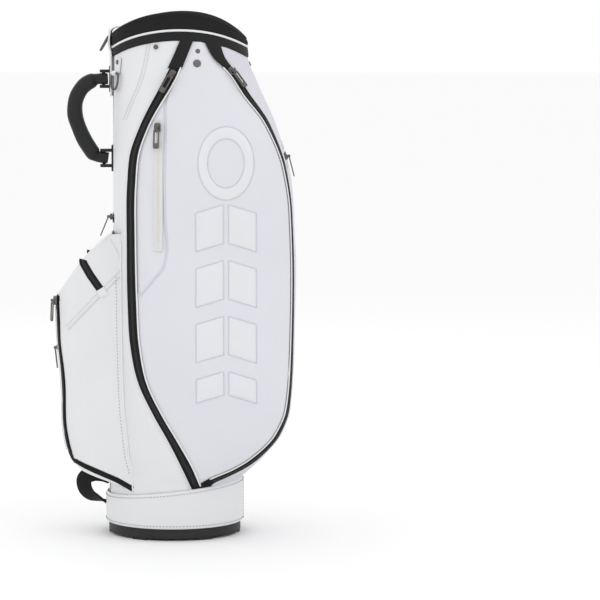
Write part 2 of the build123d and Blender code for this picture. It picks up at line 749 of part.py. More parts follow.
def slider_part(spin):
    """Zip slider with its pull pin along x; the body is spun to follow the zip."""
    with BuildPart() as slider:
        with BuildSketch(Plane.XY.offset(ZIP_CLEAR)):
            with Locations(Location((0, 0, 0), (0, 0, spin))):
                RectangleRounded(SLIDER_WIDTH, SLIDER_LENGTH, 2.5)
        extrude(amount=SLIDER_HEIGHT)
        chamfer(slider.faces().sort_by(Axis.Z)[-1].edges(), 0.6)
        with BuildSketch(Plane.XY.offset(ZIP_CLEAR + SLIDER_HEIGHT - 0.6)):
            with Locations((-EYE_HALF - CLEAR - EAR / 2, 0), (EYE_HALF + CLEAR + EAR / 2, 0)):
                Rectangle(EAR, 4.6)
        extrude(amount=PIN_LIFT + 2.4)
        with BuildSketch(Plane.YZ.offset(-EYE_HALF - CLEAR)):
            with Locations((0, PULL_PIN_Z)):
                Circle(PULL_PIN)
        extrude(amount=2 * (EYE_HALF + CLEAR))
    return slider.part


def pull_part():
    """Open-loop zip pull hanging down from its eye, pin along x at the eye."""
    with BuildPart() as pull:
        with BuildSketch(Plane.XY.offset(PULL_PIN_Z - PULL_THICK / 2)):
            with Locations((0, -PULL_LENGTH / 2)):
                RectangleRounded(PULL_WIDTH, PULL_LENGTH - 6, 3)
                RectangleRounded(PULL_WIDTH - 2 * PULL_RAIL, PULL_LENGTH - 6 - 2 * PULL_RAIL, 1.6, mode=Mode.SUBTRACT)
            with Locations((0, -PULL_LENGTH + 7.5)):
                RectangleRounded(PULL_WIDTH, 9, 3)
            with Locations((0, -2.4)):
                Rectangle(2 * EYE_HALF, 4.8)
        extrude(amount=PULL_THICK)
        with BuildSketch(Plane.YZ.offset(-EYE_HALF)):
            with Locations((0, PULL_PIN_Z)):
                Circle(EYE_RADIUS)
        extrude(amount=2 * EYE_HALF)
        with BuildSketch(Plane.YZ.offset(-EYE_HALF - 1)):
            with Locations((0, PULL_PIN_Z)):
                Circle(PULL_PIN + CLEAR)
        extrude(amount=2 * EYE_HALF + 2, mode=Mode.SUBTRACT)
    return pull.part


SLIDER = slider_part(0)
CROSS_SLIDER = slider_part(90)
PULL = pull_part()

# where each slider stands when its zip is closed
SLIDER_PLANES = {
    "rear_zip_left": turned(skin_plane(-1, -3, 777), -28),
    "fore_zip_left": turned(skin_plane(-1, -100, 781), 22),
    "lane_zip_left": lifted(skin_plane(-1, LANE_Y, 690)),
    "front_zip": skin_plane(-67, -1, FRONT_ZIP_Z),
    "back_zip": lifted(skin_plane(0.001, 1, BACK_ZIP_Z)),
    "door_zip": skin_plane(-(DOOR_HALF + DOOR_ZIP / 2), 1, 400, POCKET_OUT).offset(DOOR_SLIDER_GAP),
    "accessory_zip": lifted(skin_plane(-ACCESSORY_ZIP_HALF + 9, 1, ACCESSORY_ZIP_Z, POCKET_OUT)),
}

for name, plane in SLIDER_PLANES.items():
    body = CROSS_SLIDER if name in LEVEL_ZIPS else SLIDER
    slider = plane.location * body
    lean = BACK_PULL_LEAN if name == "back_zip" else 0
    pull = plane.location * PULL.rotate(Axis((0, 0, PULL_PIN_Z), (1, 0, 0)), -lean)
    if name.endswith("_left"):
        save_pair(slider, name.removesuffix("_left") + "_slider")
        save_pair(pull, name.removesuffix("_left") + "_pull")
    else:
        save(slider, name + "_slider")
        save(pull, name + "_pull")

# ---------------------------------------------------------------- rings and rivets
TAB_PLANE = skin_plane(-1, 89, 790)
RING_PLANE = Plane(origin=(0, 103.4, RING_Z + TAB_DROP), x_dir=(-1, 0, 0), z_dir=(0, 1, 0))


def ring_tab(height):
    """Leather tab folded round the bar of a ring."""
    with BuildPart() as tab:
        with BuildSketch():
            with Locations((0, (TAB_UP - TAB_DROP) / 2)):
                RectangleRounded(TAB_WIDTH, TAB_UP + TAB_DROP, 3)
        extrude(amount=TAB_THICK)
        with BuildSketch(Plane.YZ.offset(-BAR_HALF)):
            with Locations((-TAB_DROP, height)):
                Circle(WIRE + CLEAR + TAB_THICK)
        extrude(amount=2 * BAR_HALF)
        with BuildSketch(Plane.YZ.offset(-TAB_WIDTH)):
            with Locations((-TAB_DROP, height)):
                Circle(WIRE + CLEAR)
        extrude(amount=2 * TAB_WIDTH, mode=Mode.SUBTRACT)
    return tab.part


def d_ring(height, lean):
    """Wire ring: straight bar with a round bow below, leaning out from the skin."""
    with BuildPart() as ring:
        with BuildLine(Plane.XY) as wire:
            bar = Line((-RING_HALF + 4, 0), (RING_HALF - 4, 0))
            RadiusArc(bar @ 1, (RING_HALF, -4), 4)
            Line((RING_HALF, -4), (RING_HALF, -RING_DROP + RING_HALF))
            ThreePointArc((RING_HALF, -RING_DROP + RING_HALF), (0, -RING_DROP), (-RING_HALF, -RING_DROP + RING_HALF))
            Line((-RING_HALF, -RING_DROP + RING_HALF), (-RING_HALF, -4))
            RadiusArc((-RING_HALF, -4), bar @ 0, 4)
        with BuildSketch(Plane.YZ):
            Circle(WIRE)
        sweep(path=wire.wire())
    leaned = ring.part.rotate(Axis.X, -lean)
    return leaned.moved(Location((0, -TAB_DROP, height)))


save_pair(TAB_PLANE.location * ring_tab(BAR_HEIGHT), "ring_tab")
save_pair(TAB_PLANE.location * d_ring(BAR_HEIGHT, 0), "d_ring")
with BuildPart() as top_ring_tab:
    add(RING_PLANE.location * ring_tab(BAR_HEIGHT))
    add(spine_strip.part, mode=Mode.SUBTRACT)
    add(collar_pad.part, mode=Mode.SUBTRACT)
save(top_ring_tab.part, "top_ring_tab")
save(RING_PLANE.location * d_ring(BAR_HEIGHT, TOP_RING_LEAN), "top_ring")


def dome(radius, rise):
    """Low domed rivet head standing on the skin."""
    with BuildPart() as head:
        with BuildSketch(Plane.XY.offset(HEAD_GAP)):
            Circle(radius)
        extrude(amount=rise)
        fillet(head.faces().sort_by(Axis.Z)[-1].edges(), rise * 0.6)
    return head.part


with BuildPart() as rivets:
    add(skin_plane(-1, 24, 822).location * dome(RIVET, RIVET_RISE))
    add(skin_plane(-1, -45, 815).location * dome(RIVET, RIVET_RISE))
    add((TAB_PLANE.location * Location((0, 6, TAB_THICK))) * dome(RIVET, RIVET_RISE))
    mirror(about=Plane.YZ)
    add(skin_plane(0.001, -1, 792).location * dome(RIVET, RIVET_RISE))
save(rivets.part, "rivets")

with BuildPart() as snaps:
    add(skin_plane(-1, -44, 795).location * dome(SNAP, RIVET_RISE))
    mirror(about=Plane.YZ)
save(snaps.part, "snaps")
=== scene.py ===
import math
import bpy
import numpy as np
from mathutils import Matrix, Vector
from mathutils.bvhtree import BVHTree


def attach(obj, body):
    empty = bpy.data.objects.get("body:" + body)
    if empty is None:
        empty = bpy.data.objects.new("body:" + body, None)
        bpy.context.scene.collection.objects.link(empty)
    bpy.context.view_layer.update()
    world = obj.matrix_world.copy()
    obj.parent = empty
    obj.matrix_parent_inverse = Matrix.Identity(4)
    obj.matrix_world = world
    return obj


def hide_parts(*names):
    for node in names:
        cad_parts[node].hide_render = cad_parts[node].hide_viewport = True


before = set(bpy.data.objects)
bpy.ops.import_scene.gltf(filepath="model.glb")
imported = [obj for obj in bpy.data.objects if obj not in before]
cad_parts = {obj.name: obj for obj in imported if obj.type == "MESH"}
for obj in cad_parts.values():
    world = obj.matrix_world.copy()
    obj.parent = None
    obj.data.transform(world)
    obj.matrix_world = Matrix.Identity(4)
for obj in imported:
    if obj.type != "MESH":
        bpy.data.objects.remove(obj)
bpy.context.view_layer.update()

MM = 0.001
FLIP = np.array([-1, 1, 1])     # mirror across the bag's middle plane
FINE = 1   # grid counts are divided by this; a larger value draws coarser grids

# ------------------------------------------------------------------ body shape (same sections as the frame)
KEYS = ("half", "front", "back", "widest", "full_front", "full_back")


def section(z, half, front, back, widest, full_front, full_back):
    return dict(z=z, half=half, front=front, back=back, widest=widest,
                full_front=full_front, full_back=full_back)


BODY = (
    section(z=66, half=112, front=112, back=111, widest=0, full_front=0.552, full_back=0.552),
    section(z=92, half=112.5, front=112.5, back=110.5, widest=0, full_front=0.60, full_back=0.552),
    section(z=108, half=116, front=126, back=110, widest=-10, full_front=0.80, full_back=0.56),
    section(z=140, half=123, front=156, back=109, widest=-25, full_front=1.00, full_back=0.62),
    section(z=178, half=130, front=184, back=107.5, widest=-40, full_front=1.08, full_back=0.66),
    section(z=222, half=136, front=197.5, back=106.5, widest=-50, full_front=1.12, full_back=0.70),
    section(z=300, half=143, front=202.5, back=105, widest=-58, full_front=1.12, full_back=0.72),
    section(z=437, half=146, front=204.5, back=103, widest=-60, full_front=1.12, full_back=0.72),
    section(z=550, half=144, front=201, back=101.5, widest=-60, full_front=1.12, full_back=0.72),
    section(z=620, half=139, front=192, back=101, widest=-55, full_front=1.10, full_back=0.72),
    section(z=690, half=130.5, front=171, back=101, widest=-40, full_front=1.00, full_back=0.68),
    section(z=762, half=118.5, front=141, back=101, widest=-20, full_front=0.78, full_back=0.63),
    section(z=805, half=109, front=125, back=101, widest=-11, full_front=0.65, full_back=0.58),
    section(z=848, half=105.5, front=122.5, back=101.5, widest=-11, full_front=0.552, full_back=0.552),
    section(z=890, half=105.5, front=122.5, back=101.5, widest=-11, full_front=0.552, full_back=0.552),
)


def eased(z, xs, ys):
    """Smooth monotone curve through listed values."""
    xs = np.asarray(xs, float)
    ys = np.asarray(ys, float)
    h = np.diff(xs)
    d = np.diff(ys) / h
    m = np.zeros(len(xs))
    m[0], m[-1] = d[0], d[-1]
    same = d[:-1] * d[1:] > 0
    m[1:-1][same] = 2 * d[:-1][same] * d[1:][same] / (d[:-1][same] + d[1:][same])
    z = np.clip(z, xs[0], xs[-1])
    i = np.clip(np.searchsorted(xs, z, side="right") - 1, 0, len(h) - 1)
    t = (z - xs[i]) / h[i]
    return (ys[i] + h[i] * m[i] * t * (1 - t) ** 2 + (ys[i + 1] - ys[i]) * t * t * (3 - 2 * t)
            - h[i] * m[i + 1] * t * t * (1 - t))


HEIGHTS = np.array([s["z"] for s in BODY], float)
GRID_Z = np.linspace(66, 890, 825)
TABLE = {k: eased(GRID_Z, HEIGHTS, [s[k] for s in BODY]) for k in KEYS}


def surf(w, z):
    """Point on the filled body: w runs 0 front, 1 left side, 2 back, 3 right side, 4 front."""
    w, z = np.broadcast_arrays(np.asarray(w, float), np.asarray(z, float))
    w = np.mod(w, 4.0)
    right = w > 2
    q = np.where(right, 4 - w, w)
    half, front, back, wide, full_front, full_back = (np.interp(z, GRID_Z, TABLE[k]) for k in KEYS)
    rear = q > 1
    t = np.where(rear, q - 1, q)
    b0, b1, b2, b3 = (1 - t) ** 3, 3 * t * (1 - t) ** 2, 3 * t * t * (1 - t), t ** 3
    x = np.where(rear, half * (b0 + b1 + full_back * b2), half * (full_front * b1 + b2 + b3))
    y = np.where(rear, wide * b0 + (wide + full_back * (back - wide)) * b1 + back * b2 + back * b3,
                 -front * b0 - front * b1 + (wide - full_front * (front + wide)) * b2 + wide * b3)
    return np.stack([np.where(right, x, -x), y, z], -1)


def outward(w, z):
    """Unit direction pointing away from the body."""
    e = 0.004
    z = np.clip(z, 68, 886)
    along = surf(w + e, z) - surf(w - e, z)
    up = surf(w, z + 2) - surf(w, z - 2)
    n = np.cross(up, along)
    return n / np.linalg.norm(n, axis=-1, keepdims=True)


def at(w, z, off=0.0):
    """Point some distance off the body."""
    return surf(w, z) + outward(w, z) * np.asarray(off, float)[..., None]


def smooth_run(points, count=500):
    """Smooth curve through points, eased by chord length (2-D or 3-D)."""
    p = np.asarray(points, float)
    d = np.r_[0, np.cumsum(np.linalg.norm(np.diff(p, axis=0), axis=1))]
    t = np.linspace(0, d[-1], count)
    h = np.diff(d)
    s = np.diff(p, axis=0) / h[:, None]
    m = np.vstack([s[0], (s[:-1] * h[1:, None] + s[1:] * h[:-1, None]) / (h[1:] + h[:-1])[:, None], s[-1]])
    i = np.clip(np.searchsorted(d, t, side="right") - 1, 0, len(h) - 1)
    u = ((t - d[i]) / h[i])[:, None]
    hh = h[i][:, None]
    return (p[i] * (1 - 3 * u ** 2 + 2 * u ** 3) + hh * m[i] * (u - 2 * u ** 2 + u ** 3)
            + p[i + 1] * (3 * u ** 2 - 2 * u ** 3) + hh * m[i + 1] * (u ** 3 - u ** 2))


# ------------------------------------------------------------------ panel edges (as in the frame)
REAR_OUTER = ((-22, 840), (5, 781), (52, 690), (67, 650), (73, 595), (74, 500), (73, 400),
              (69, 330), (56, 268), (30, 213), (5, 168), (-16, 125), (-41, 66))
REAR_INNER = ((-38, 840), (-11, 774), (37, 688), (51, 650), (57, 595), (58, 500), (56, 400),
              (52, 330), (40, 268), (14, 213), (-12, 168), (-35, 125), (-56, 66))
ZIP_WIDTH = 14.5


def corner(x, y, z):
    return ((y - x) / 2 ** 0.5, z)


FORE_EDGE = (corner(86, 70, 840), corner(88, 84, 805), corner(90, 110, 778), corner(91, 132, 740),
             corner(94, 163, 700), corner(96, 183, 655), corner(98.5, 196, 595), corner(102, 203, 500),
             corner(104, 204.5, 400), corner(104, 202.5, 300), corner(102.5, 194, 210), corner(99, 176, 170),
             corner(94, 152, 143), corner(89, 118, 121), corner(90, 84, 105), corner(96, 64, 88),
             corner(98, 58, 66))
EDGE_Z = np.linspace(66, 850, 393)


def edge_value(points):
    run = smooth_run(points, 3000)
    order = np.argsort(run[:, 1])
    return np.interp(EDGE_Z, run[order, 1], run[order, 0])


def edge_w(values, measure, low, high):
    """Perimeter position where a measure of the surface reaches a value, at each height."""
    ws = np.linspace(low, high, 900)
    out = []
    for z, v in zip(EDGE_Z, values):
        m = measure(surf(ws, z))
        order = np.argsort(m)
        out.append(np.interp(v, m[order], ws[order]))
    return np.array(out)


def depth(p):
    return p[:, 1]


def diagonal(p):
    return (-p[:, 1] + p[:, 0]) / 2 ** 0.5


def sideways(p):
    return -p[:, 0]


fore_out = edge_value(FORE_EDGE)
W_REAR_OUT = edge_w(edge_value(REAR_OUTER), depth, 0.35, 1.97)
W_REAR_IN = edge_w(edge_value(REAR_INNER), depth, 0.35, 1.97)
W_FORE_OUT = edge_w(fore_out, diagonal, 0.02, 1.3)
LANE_ACROSS = np.interp(EDGE_Z, (66, 88, 105, 143, 175, 215, 740, 780),
                        (14, 20, 27, 25, 20, 18, 17, ZIP_WIDTH))
W_FORE_IN = np.minimum(edge_w(fore_out - LANE_ACROSS, diagonal, 0.02, 1.3), W_REAR_IN)
W_FORE_OUT = np.minimum(W_FORE_OUT, W_FORE_IN)
W_SPINE = edge_w(np.full(len(EDGE_Z), 21.0), sideways, 1.5, 2.0)


def track(table):
    return lambda z: np.interp(z, EDGE_Z, table)


rear_out, rear_in = track(W_REAR_OUT), track(W_REAR_IN)
fore_in, fore_out_w = track(W_FORE_IN), track(W_FORE_OUT)
spine_w = track(W_SPINE)


def w_at_y(y, z):
    """Left-side perimeter position at depth y and height z."""
    y, z = np.broadcast_arrays(np.asarray(y, float), np.asarray(z, float))
    ws = np.linspace(0.3, 1.98, 500)
    flat = [np.interp(yy, surf(ws, zz)[:, 1], ws) for yy, zz in zip(y.ravel(), z.ravel())]
    return np.array(flat).reshape(y.shape)


def w_at_x(x, z, front):
    """Perimeter position near the front (or back) centre at level offset x."""
    x, z = np.broadcast_arrays(np.asarray(x, float), np.asarray(z, float))
    ws = np.linspace(-0.8, 0.8, 500) if front else np.linspace(1.4, 2.6, 500)
    flat = []
    for xx, zz in zip(x.ravel(), z.ravel()):
        px = surf(ws, zz)[:, 0]
        order = np.argsort(px)
        flat.append(np.interp(xx, px[order], ws[order]))
    return np.array(flat).reshape(x.shape)


def saddle(back, side, front):
    """Height of a rim that is high at the sides, as a smooth curve of depth y."""
    ys = np.array([104, 62, -12, -84, -125], float)
    zs = np.array([back, (back + 2 * side) / 3 - 1, side, (front + 2 * side) / 3, front])
    c = np.polyfit(ys, zs, 4)
    return lambda y: np.polyval(c, np.clip(y, -125, 104))


rim_z = saddle(846, 880, 838)
piping_z = saddle(818, 850, 820)
hem_z = saddle(803, 833, 802)


# ------------------------------------------------------------------ mesh helpers
def new_object(name, verts, faces, uv=None, smooth=True):
    mesh = bpy.data.meshes.new(name)
    mesh.from_pydata((np.asarray(verts) * MM).tolist(), [], faces)
    if uv is not None:
        layer = mesh.uv_layers.new(name="flat")
        loops = np.zeros(len(mesh.loops), np.int32)
        mesh.loops.foreach_get("vertex_index", loops)
        layer.data.foreach_set("uv", (np.asarray(uv) * MM)[loops].astype(np.float32).ravel())
    mesh.polygons.foreach_set("use_smooth", [smooth] * len(mesh.polygons))
    mesh.update()
    obj = bpy.data.objects.new(name, mesh)
    bpy.context.scene.collection.objects.link(obj)
    return obj


def grid_faces(rows, cols, close=False, flip=False):
    r = np.arange(rows - 1)[:, None]
    c = np.arange(cols if close else cols - 1)[None, :]
    nxt = (c + 1) % cols
    quad = np.stack([r * cols + c, r * cols + nxt, (r + 1) * cols + nxt, (r + 1) * cols + c], -1)
    quad = quad.reshape(-1, 4)
    if flip:
        quad = quad[:, ::-1]
    return quad.tolist()


def sheet_object(name, grid, close=False, flip=False, thick=0.0):
    """Grid of points as a surface, with a flat layout in millimetres as its UV map."""
    rows, cols = grid.shape[:2]
    across = np.r_[0, np.cumsum(np.linalg.norm(np.diff(grid[rows // 2], axis=0), axis=1))]
    along = np.r_[0, np.cumsum(np.linalg.norm(np.diff(grid[:, cols // 2], axis=0), axis=1))]
    uv = np.stack(np.broadcast_arrays(across[None, :], along[:, None]), -1).reshape(-1, 2)
    obj = new_object(name, grid.reshape(-1, 3), grid_faces(rows, cols, close, flip=flip), uv)
    if thick:
        solid = obj.modifiers.new("thickness", "SOLIDIFY")
        solid.thickness = thick * MM
        solid.offset = -1
    return obj


def tidy_frame(points, normals=None):
    """Direction, normal and crossways vectors along a run of points."""
    p = np.asarray(points, float)
    t = np.gradient(p, axis=0)
    t /= np.linalg.norm(t, axis=1, keepdims=True) + 1e-12
    if normals is None:
        n = np.zeros_like(p)
        n[0] = np.cross(t[0], [0.3, 0.5, 0.8])
        for i in range(1, len(p)):
            n[i] = n[i - 1] - t[i] * np.dot(n[i - 1], t[i])
            n[i] /= np.linalg.norm(n[i]) + 1e-12
        n[0] /= np.linalg.norm(n[0])
    else:
        n = normals - t * np.sum(normals * t, axis=1, keepdims=True)
        n /= np.linalg.norm(n, axis=1, keepdims=True) + 1e-12
    return t, n, np.cross(t, n)


def resample(points, step, extra=None):
    """The run in even steps, with the normals given along it."""
    p = np.asarray(points, float)
    d = np.r_[0, np.cumsum(np.linalg.norm(np.diff(p, axis=0), axis=1))]
    count = max(2, int(round(d[-1] / step)) + 1)
    t = np.linspace(0, d[-1], count)
    out = np.stack([np.interp(t, d, p[:, k]) for k in range(3)], 1)
    if extra is None:
        return out
    e = np.stack([np.interp(t, d, extra[:, k]) for k in range(3)], 1)
    return out, e / (np.linalg.norm(e, axis=1, keepdims=True) + 1e-12)


def tube(name, points, radius, sides=8, step=4.0, flat=1.0, normals=None):
    """Round cord along points; flat < 1 presses it against its normals."""
    if normals is None:
        p = resample(points, step)
        t, n, b = tidy_frame(p)
    else:
        p, nn = resample(points, step, normals)
        t, n, b = tidy_frame(p, nn)
    ang = np.linspace(0, 2 * np.pi, sides, endpoint=False)
    ring = (n[:, None] * np.cos(ang)[None, :, None] * flat + b[:, None] * np.sin(ang)[None, :, None]) * radius
    grid = p[:, None] + ring
    faces = grid_faces(len(p), sides, True)
    verts = grid.reshape(-1, 3)
    faces.append(list(range(sides))[::-1])
    faces.append(list(range(len(verts) - sides, len(verts))))
    along = np.r_[0, np.cumsum(np.linalg.norm(np.diff(p, axis=0), axis=1))]
    uv = np.stack(np.broadcast_arrays((ang * radius)[None, :], along[:, None]), -1).reshape(-1, 2)
    return new_object(name, verts, faces, uv)


def join(objs, name):
    """Several meshes as one object."""
    verts, faces, uvs = [], [], []
    base = 0
    for o in objs:
        m = o.data
        co = np.zeros(len(m.vertices) * 3, np.float32)
        m.vertices.foreach_get("co", co)
        verts.append(co.reshape(-1, 3) / MM)
        faces += [[base + i for i in p.vertices] for p in m.polygons]
        uv = np.zeros((len(m.vertices), 2), np.float32)
        if m.uv_layers:
            loops = np.zeros(len(m.loops), np.int32)
            m.loops.foreach_get("vertex_index", loops)
            flat = np.zeros(len(m.loops) * 2, np.float32)
            m.uv_layers[0].data.foreach_get("uv", flat)
            uv[loops] = flat.reshape(-1, 2) / MM
        uvs.append(uv)
        base += len(m.vertices)
        bpy.data.objects.remove(o)
    return new_object(name, np.vstack(verts), faces, np.vstack(uvs))


def stitches(name, runs, pitch=4.4, length=3.0, width=0.8, rise=0.45):
    """Thread dashes along runs of (points, normals)."""
    verts, faces = [], []
    for points, normals in runs:
        p, n = resample(points, pitch, normals)
        if len(p) < 2:
            continue
        t, n, b = tidy_frame(p, n)
        for i in range(len(p)):
            base = len(verts)
            for s, r in ((-0.5, 0.35), (-0.3, 1.0), (0.3, 1.0), (0.5, 0.35)):
                centre = p[i] + t[i] * length * s
                lift = 0.5 + 0.5 * r
                verts += [centre + b[i] * width * 0.5 * r, centre + n[i] * rise * 2 * lift,
                          centre - b[i] * width * 0.5 * r, centre - n[i] * rise]
            for k in range(3):
                a = base + 4 * k
                for j in range(4):
                    faces.append([a + j, a + (j + 1) % 4, a + 4 + (j + 1) % 4, a + 4 + j])
            faces.append([base + 3, base + 2, base + 1, base])
            faces.append([base + 12, base + 13, base + 14, base + 15])
    return new_object(name, np.array(verts), faces)


COIL_STEP = 0.62
COIL_PITCH = 1.9


def coil(name, points, normals, width=5.2, rise=1.5):
    """Zip coil: two rows of small rounded turns with a groove between them."""
    p, n = resample(points, COIL_STEP * FINE, normals)
    t, n, b = tidy_frame(p, n)
    s = np.arange(len(p)) * COIL_STEP * FINE
    across = np.linspace(-1, 1, 9)
    crown = np.sqrt(np.clip(1 - across ** 2, 0, 1)) * (1 - 0.55 * np.exp(-(across / 0.16) ** 2))
    turn = 0.62 + 0.38 * np.cos(2 * np.pi * (s[:, None] / COIL_PITCH + 0.5 * (across[None, :] > 0)))
    height = rise * crown[None, :] * turn
    grid = p[:, None] + b[:, None] * (across * width / 2)[None, :, None] + n[:, None] * height[..., None]
    return sheet_object(name, grid)


def coil_on(name, w, z, off, width=5.2, rise=1.5):
    """Zip coil along a run on the body."""
    return coil(name, at(w, z, off), outward(w, z), width, rise)


def cord_on(name, w, z, off, radius, flat=1.0):
    """Cord along a run on the body."""
    return tube(name, at(w, z, off), radius, flat=flat, normals=outward(w, z))


def snapped(obj, points, normals, off=0.15, reach=9.0):
    """The run laid on a panel's real surface."""
    mesh = obj.data
    tree = BVHTree.FromPolygons([v.co for v in mesh.vertices], [tuple(q.vertices) for q in mesh.polygons])
    out = []
    for point, normal in zip(np.asarray(points, float), np.asarray(normals, float)):
        start = Vector((point + normal * reach) * MM)
        hit = tree.ray_cast(start, Vector(-normal), 2 * reach * MM)[0]
        out.append(point if hit is None else np.array(hit) / MM + normal * off)
    return np.array(out)


def noise_waves(count, low, high, seed):
    """Waves in random directions, their lengths between low and high."""
    draw = np.random.default_rng(seed)
    waves = draw.normal(size=(count, 3))
    waves /= np.linalg.norm(waves, axis=1, keepdims=True)
    waves *= (2 * np.pi / draw.uniform(low, high, count))[:, None]
    return waves, draw.uniform(0, 2 * np.pi, count)


def soft(points, low, high, seed, count=9):
    """Gentle unevenness of filled cloth, between about -1 and 1."""
    waves, shift = noise_waves(count, low, high, seed)
    return np.sin(points @ waves.T + shift).sum(-1) / math.sqrt(count)


def mirrored(obj, name):
    """Mirror image across the bag's middle plane."""
    mesh = obj.data.copy()
    mesh.name = name
    co = np.zeros(len(mesh.vertices) * 3, np.float32)
    mesh.vertices.foreach_get("co", co)
    co = co.reshape(-1, 3)
    co[:, 0] *= -1
    mesh.vertices.foreach_set("co", co.ravel())
    mesh.flip_normals()
    mesh.update()
    twin = bpy.data.objects.new(name, mesh)
    bpy.context.scene.collection.objects.link(twin)
    for m in obj.modifiers:
        c = twin.modifiers.new(m.name, m.type)
        if m.type == "SOLIDIFY":
            c.thickness = m.thickness
            c.offset = m.offset
    return twin


# ------------------------------------------------------------------ materials
def material(name):
    m = bpy.data.materials.new(name)
    m.use_nodes = True
    nt = m.node_tree
    bsdf = nt.nodes["Principled BSDF"]
    return m, nt, bsdf


def node(nt, kind, **inputs):
    """New shader node with some of its inputs set."""
    n = nt.nodes.new(kind)
    for k, v in inputs.items():
        n.inputs[k.replace("_", " ")].default_value = v
    return n


def ramp(nt, source, low, high, a=0.0, b=1.0):
    r = nt.nodes.new("ShaderNodeMapRange")
    r.inputs["From Min"].default_value = a
    r.inputs["From Max"].default_value = b
    r.inputs["To Min"].default_value = low
    r.inputs["To Max"].default_value = high
    nt.links.new(source, r.inputs["Value"])
    return r.outputs["Result"]


def noise(nt, source, scale, detail):
    n = node(nt, "ShaderNodeTexNoise", Scale=scale, Detail=detail)
    nt.links.new(source, n.inputs["Vector"])
    return n.outputs["Fac"]


def tint(nt, factor, dark, light):
    mix = nt.nodes.new("ShaderNodeMix")
    mix.data_type = "RGBA"
    mix.inputs["A"].default_value = (*dark, 1)
    mix.inputs["B"].default_value = (*light, 1)
    nt.links.new(factor, mix.inputs["Factor"])
    return mix.outputs["Result"]


BLACK_BELOW = 0.1


def bump(nt, bsdf, height, distance, strength=1.0, under=None):
    b = nt.nodes.new("ShaderNodeBump")
    b.inputs["Distance"].default_value = distance
    b.inputs["Strength"].default_value = strength
    nt.links.new(height, b.inputs["Height"])
    if under is not None:
        nt.links.new(under, b.inputs["Normal"])
    nt.links.new(b.outputs["Normal"], bsdf.inputs["Normal"])
    return b.outputs["Normal"]


def colour_and_shine(nt, bsdf, colour_from, dark, light, shine_from, rough, black_specular):
    """Colour and roughness that vary a little; blacks reflect less."""
    nt.links.new(tint(nt, colour_from, dark, light), bsdf.inputs["Base Color"])
    nt.links.new(ramp(nt, shine_from, rough[0], rough[1], 0.3, 0.7), bsdf.inputs["Roughness"])
    if light[0] < BLACK_BELOW:
        bsdf.inputs["Specular IOR Level"].default_value = black_specular


def leather(name, dark, light, rough=(0.36, 0.5), grain=1100.0, depth_m=0.00012, coat=0.0):
    m, nt, bsdf = material(name)
    place = nt.nodes.new("ShaderNodeTexCoord").outputs["Object"]
    cells = node(nt, "ShaderNodeTexVoronoi", Scale=grain)
    cells.feature = "F1"
    nt.links.new(place, cells.inputs["Vector"])
    fine = noise(nt, place, grain * 2.3, 3.0)
    colour_and_shine(nt, bsdf, noise(nt, place, 9.0, 4.0), dark, light, fine, rough, 0.25)
    first = bump(nt, bsdf, cells.outputs["Distance"], depth_m, 0.55)
    bump(nt, bsdf, fine, depth_m * 0.5, 0.4, under=first)
    bsdf.inputs["Coat Weight"].default_value = coat
    bsdf.inputs["Coat Roughness"].default_value = 0.25
    return m


def weave(name, dark, light, pitch=0.0011, rough=0.8, depth_m=0.00025, sheen=0.03, diagonal=False):
    """Woven cloth laid out on the piece's own flat layout."""
    m, nt, bsdf = material(name)
    uv = nt.nodes.new("ShaderNodeTexCoord").outputs["UV"]
    place = nt.nodes.new("ShaderNodeMapping")
    place.inputs["Rotation"].default_value = (0, 0, math.radians(45 if diagonal else 0))
    nt.links.new(uv, place.inputs["Vector"])
    waves = []
    for axis in ("X", "Y"):
        wave = node(nt, "ShaderNodeTexWave", Scale=0.5 / pitch)
        wave.bands_direction = axis
        wave.wave_profile = "SIN"
        nt.links.new(place.outputs["Vector"], wave.inputs["Vector"])
        waves.append(wave.outputs["Fac"])
    mult = nt.nodes.new("ShaderNodeMath")
    mult.operation = "MAXIMUM"
    nt.links.new(waves[0], mult.inputs[0])
    nt.links.new(waves[1], mult.inputs[1])
    broad = noise(nt, nt.nodes.new("ShaderNodeTexCoord").outputs["Object"], 14.0, 5.0)
    blend = nt.nodes.new("ShaderNodeMath")
    blend.operation = "MULTIPLY_ADD"
    blend.inputs[1].default_value = 0.5
    nt.links.new(mult.outputs[0], blend.inputs[0])
    nt.links.new(ramp(nt, broad, 0.0, 0.5), blend.inputs[2])
    nt.links.new(tint(nt, blend.outputs[0], dark, light), bsdf.inputs["Base Color"])
    nt.links.new(ramp(nt, broad, rough - 0.08, rough + 0.08), bsdf.inputs["Roughness"])
    bump(nt, bsdf, mult.outputs[0], depth_m, 0.6)
    bsdf.inputs["Sheen Weight"].default_value = sheen
    bsdf.inputs["Sheen Roughness"].default_value = 0.5
    if light[0] < BLACK_BELOW:
        bsdf.inputs["Specular IOR Level"].default_value = 0.15
    return m


def metal(name, dark, light, rough=(0.22, 0.42)):
    m, nt, bsdf = material(name)
    place = nt.nodes.new("ShaderNodeTexCoord").outputs["Object"]
    cast = noise(nt, place, 260.0, 6.0)
    nt.links.new(tint(nt, cast, dark, light), bsdf.inputs["Base Color"])
    nt.links.new(ramp(nt, cast, rough[0], rough[1], 0.3, 0.7), bsdf.inputs["Roughness"])
    bump(nt, bsdf, noise(nt, place, 2200.0, 2.0), 0.00004, 0.5)
    bsdf.inputs["Metallic"].default_value = 1.0
    return m


def plastic(name, dark, light, rough=(0.4, 0.6), texture=900.0):
    m, nt, bsdf = material(name)
    place = nt.nodes.new("ShaderNodeTexCoord").outputs["Object"]
    spark = noise(nt, place, texture, 4.0)
    colour_and_shine(nt, bsdf, noise(nt, place, 22.0, 4.0), dark, light, spark, rough, 0.3)
    bump(nt, bsdf, spark, 0.00015, 0.5)
    return m


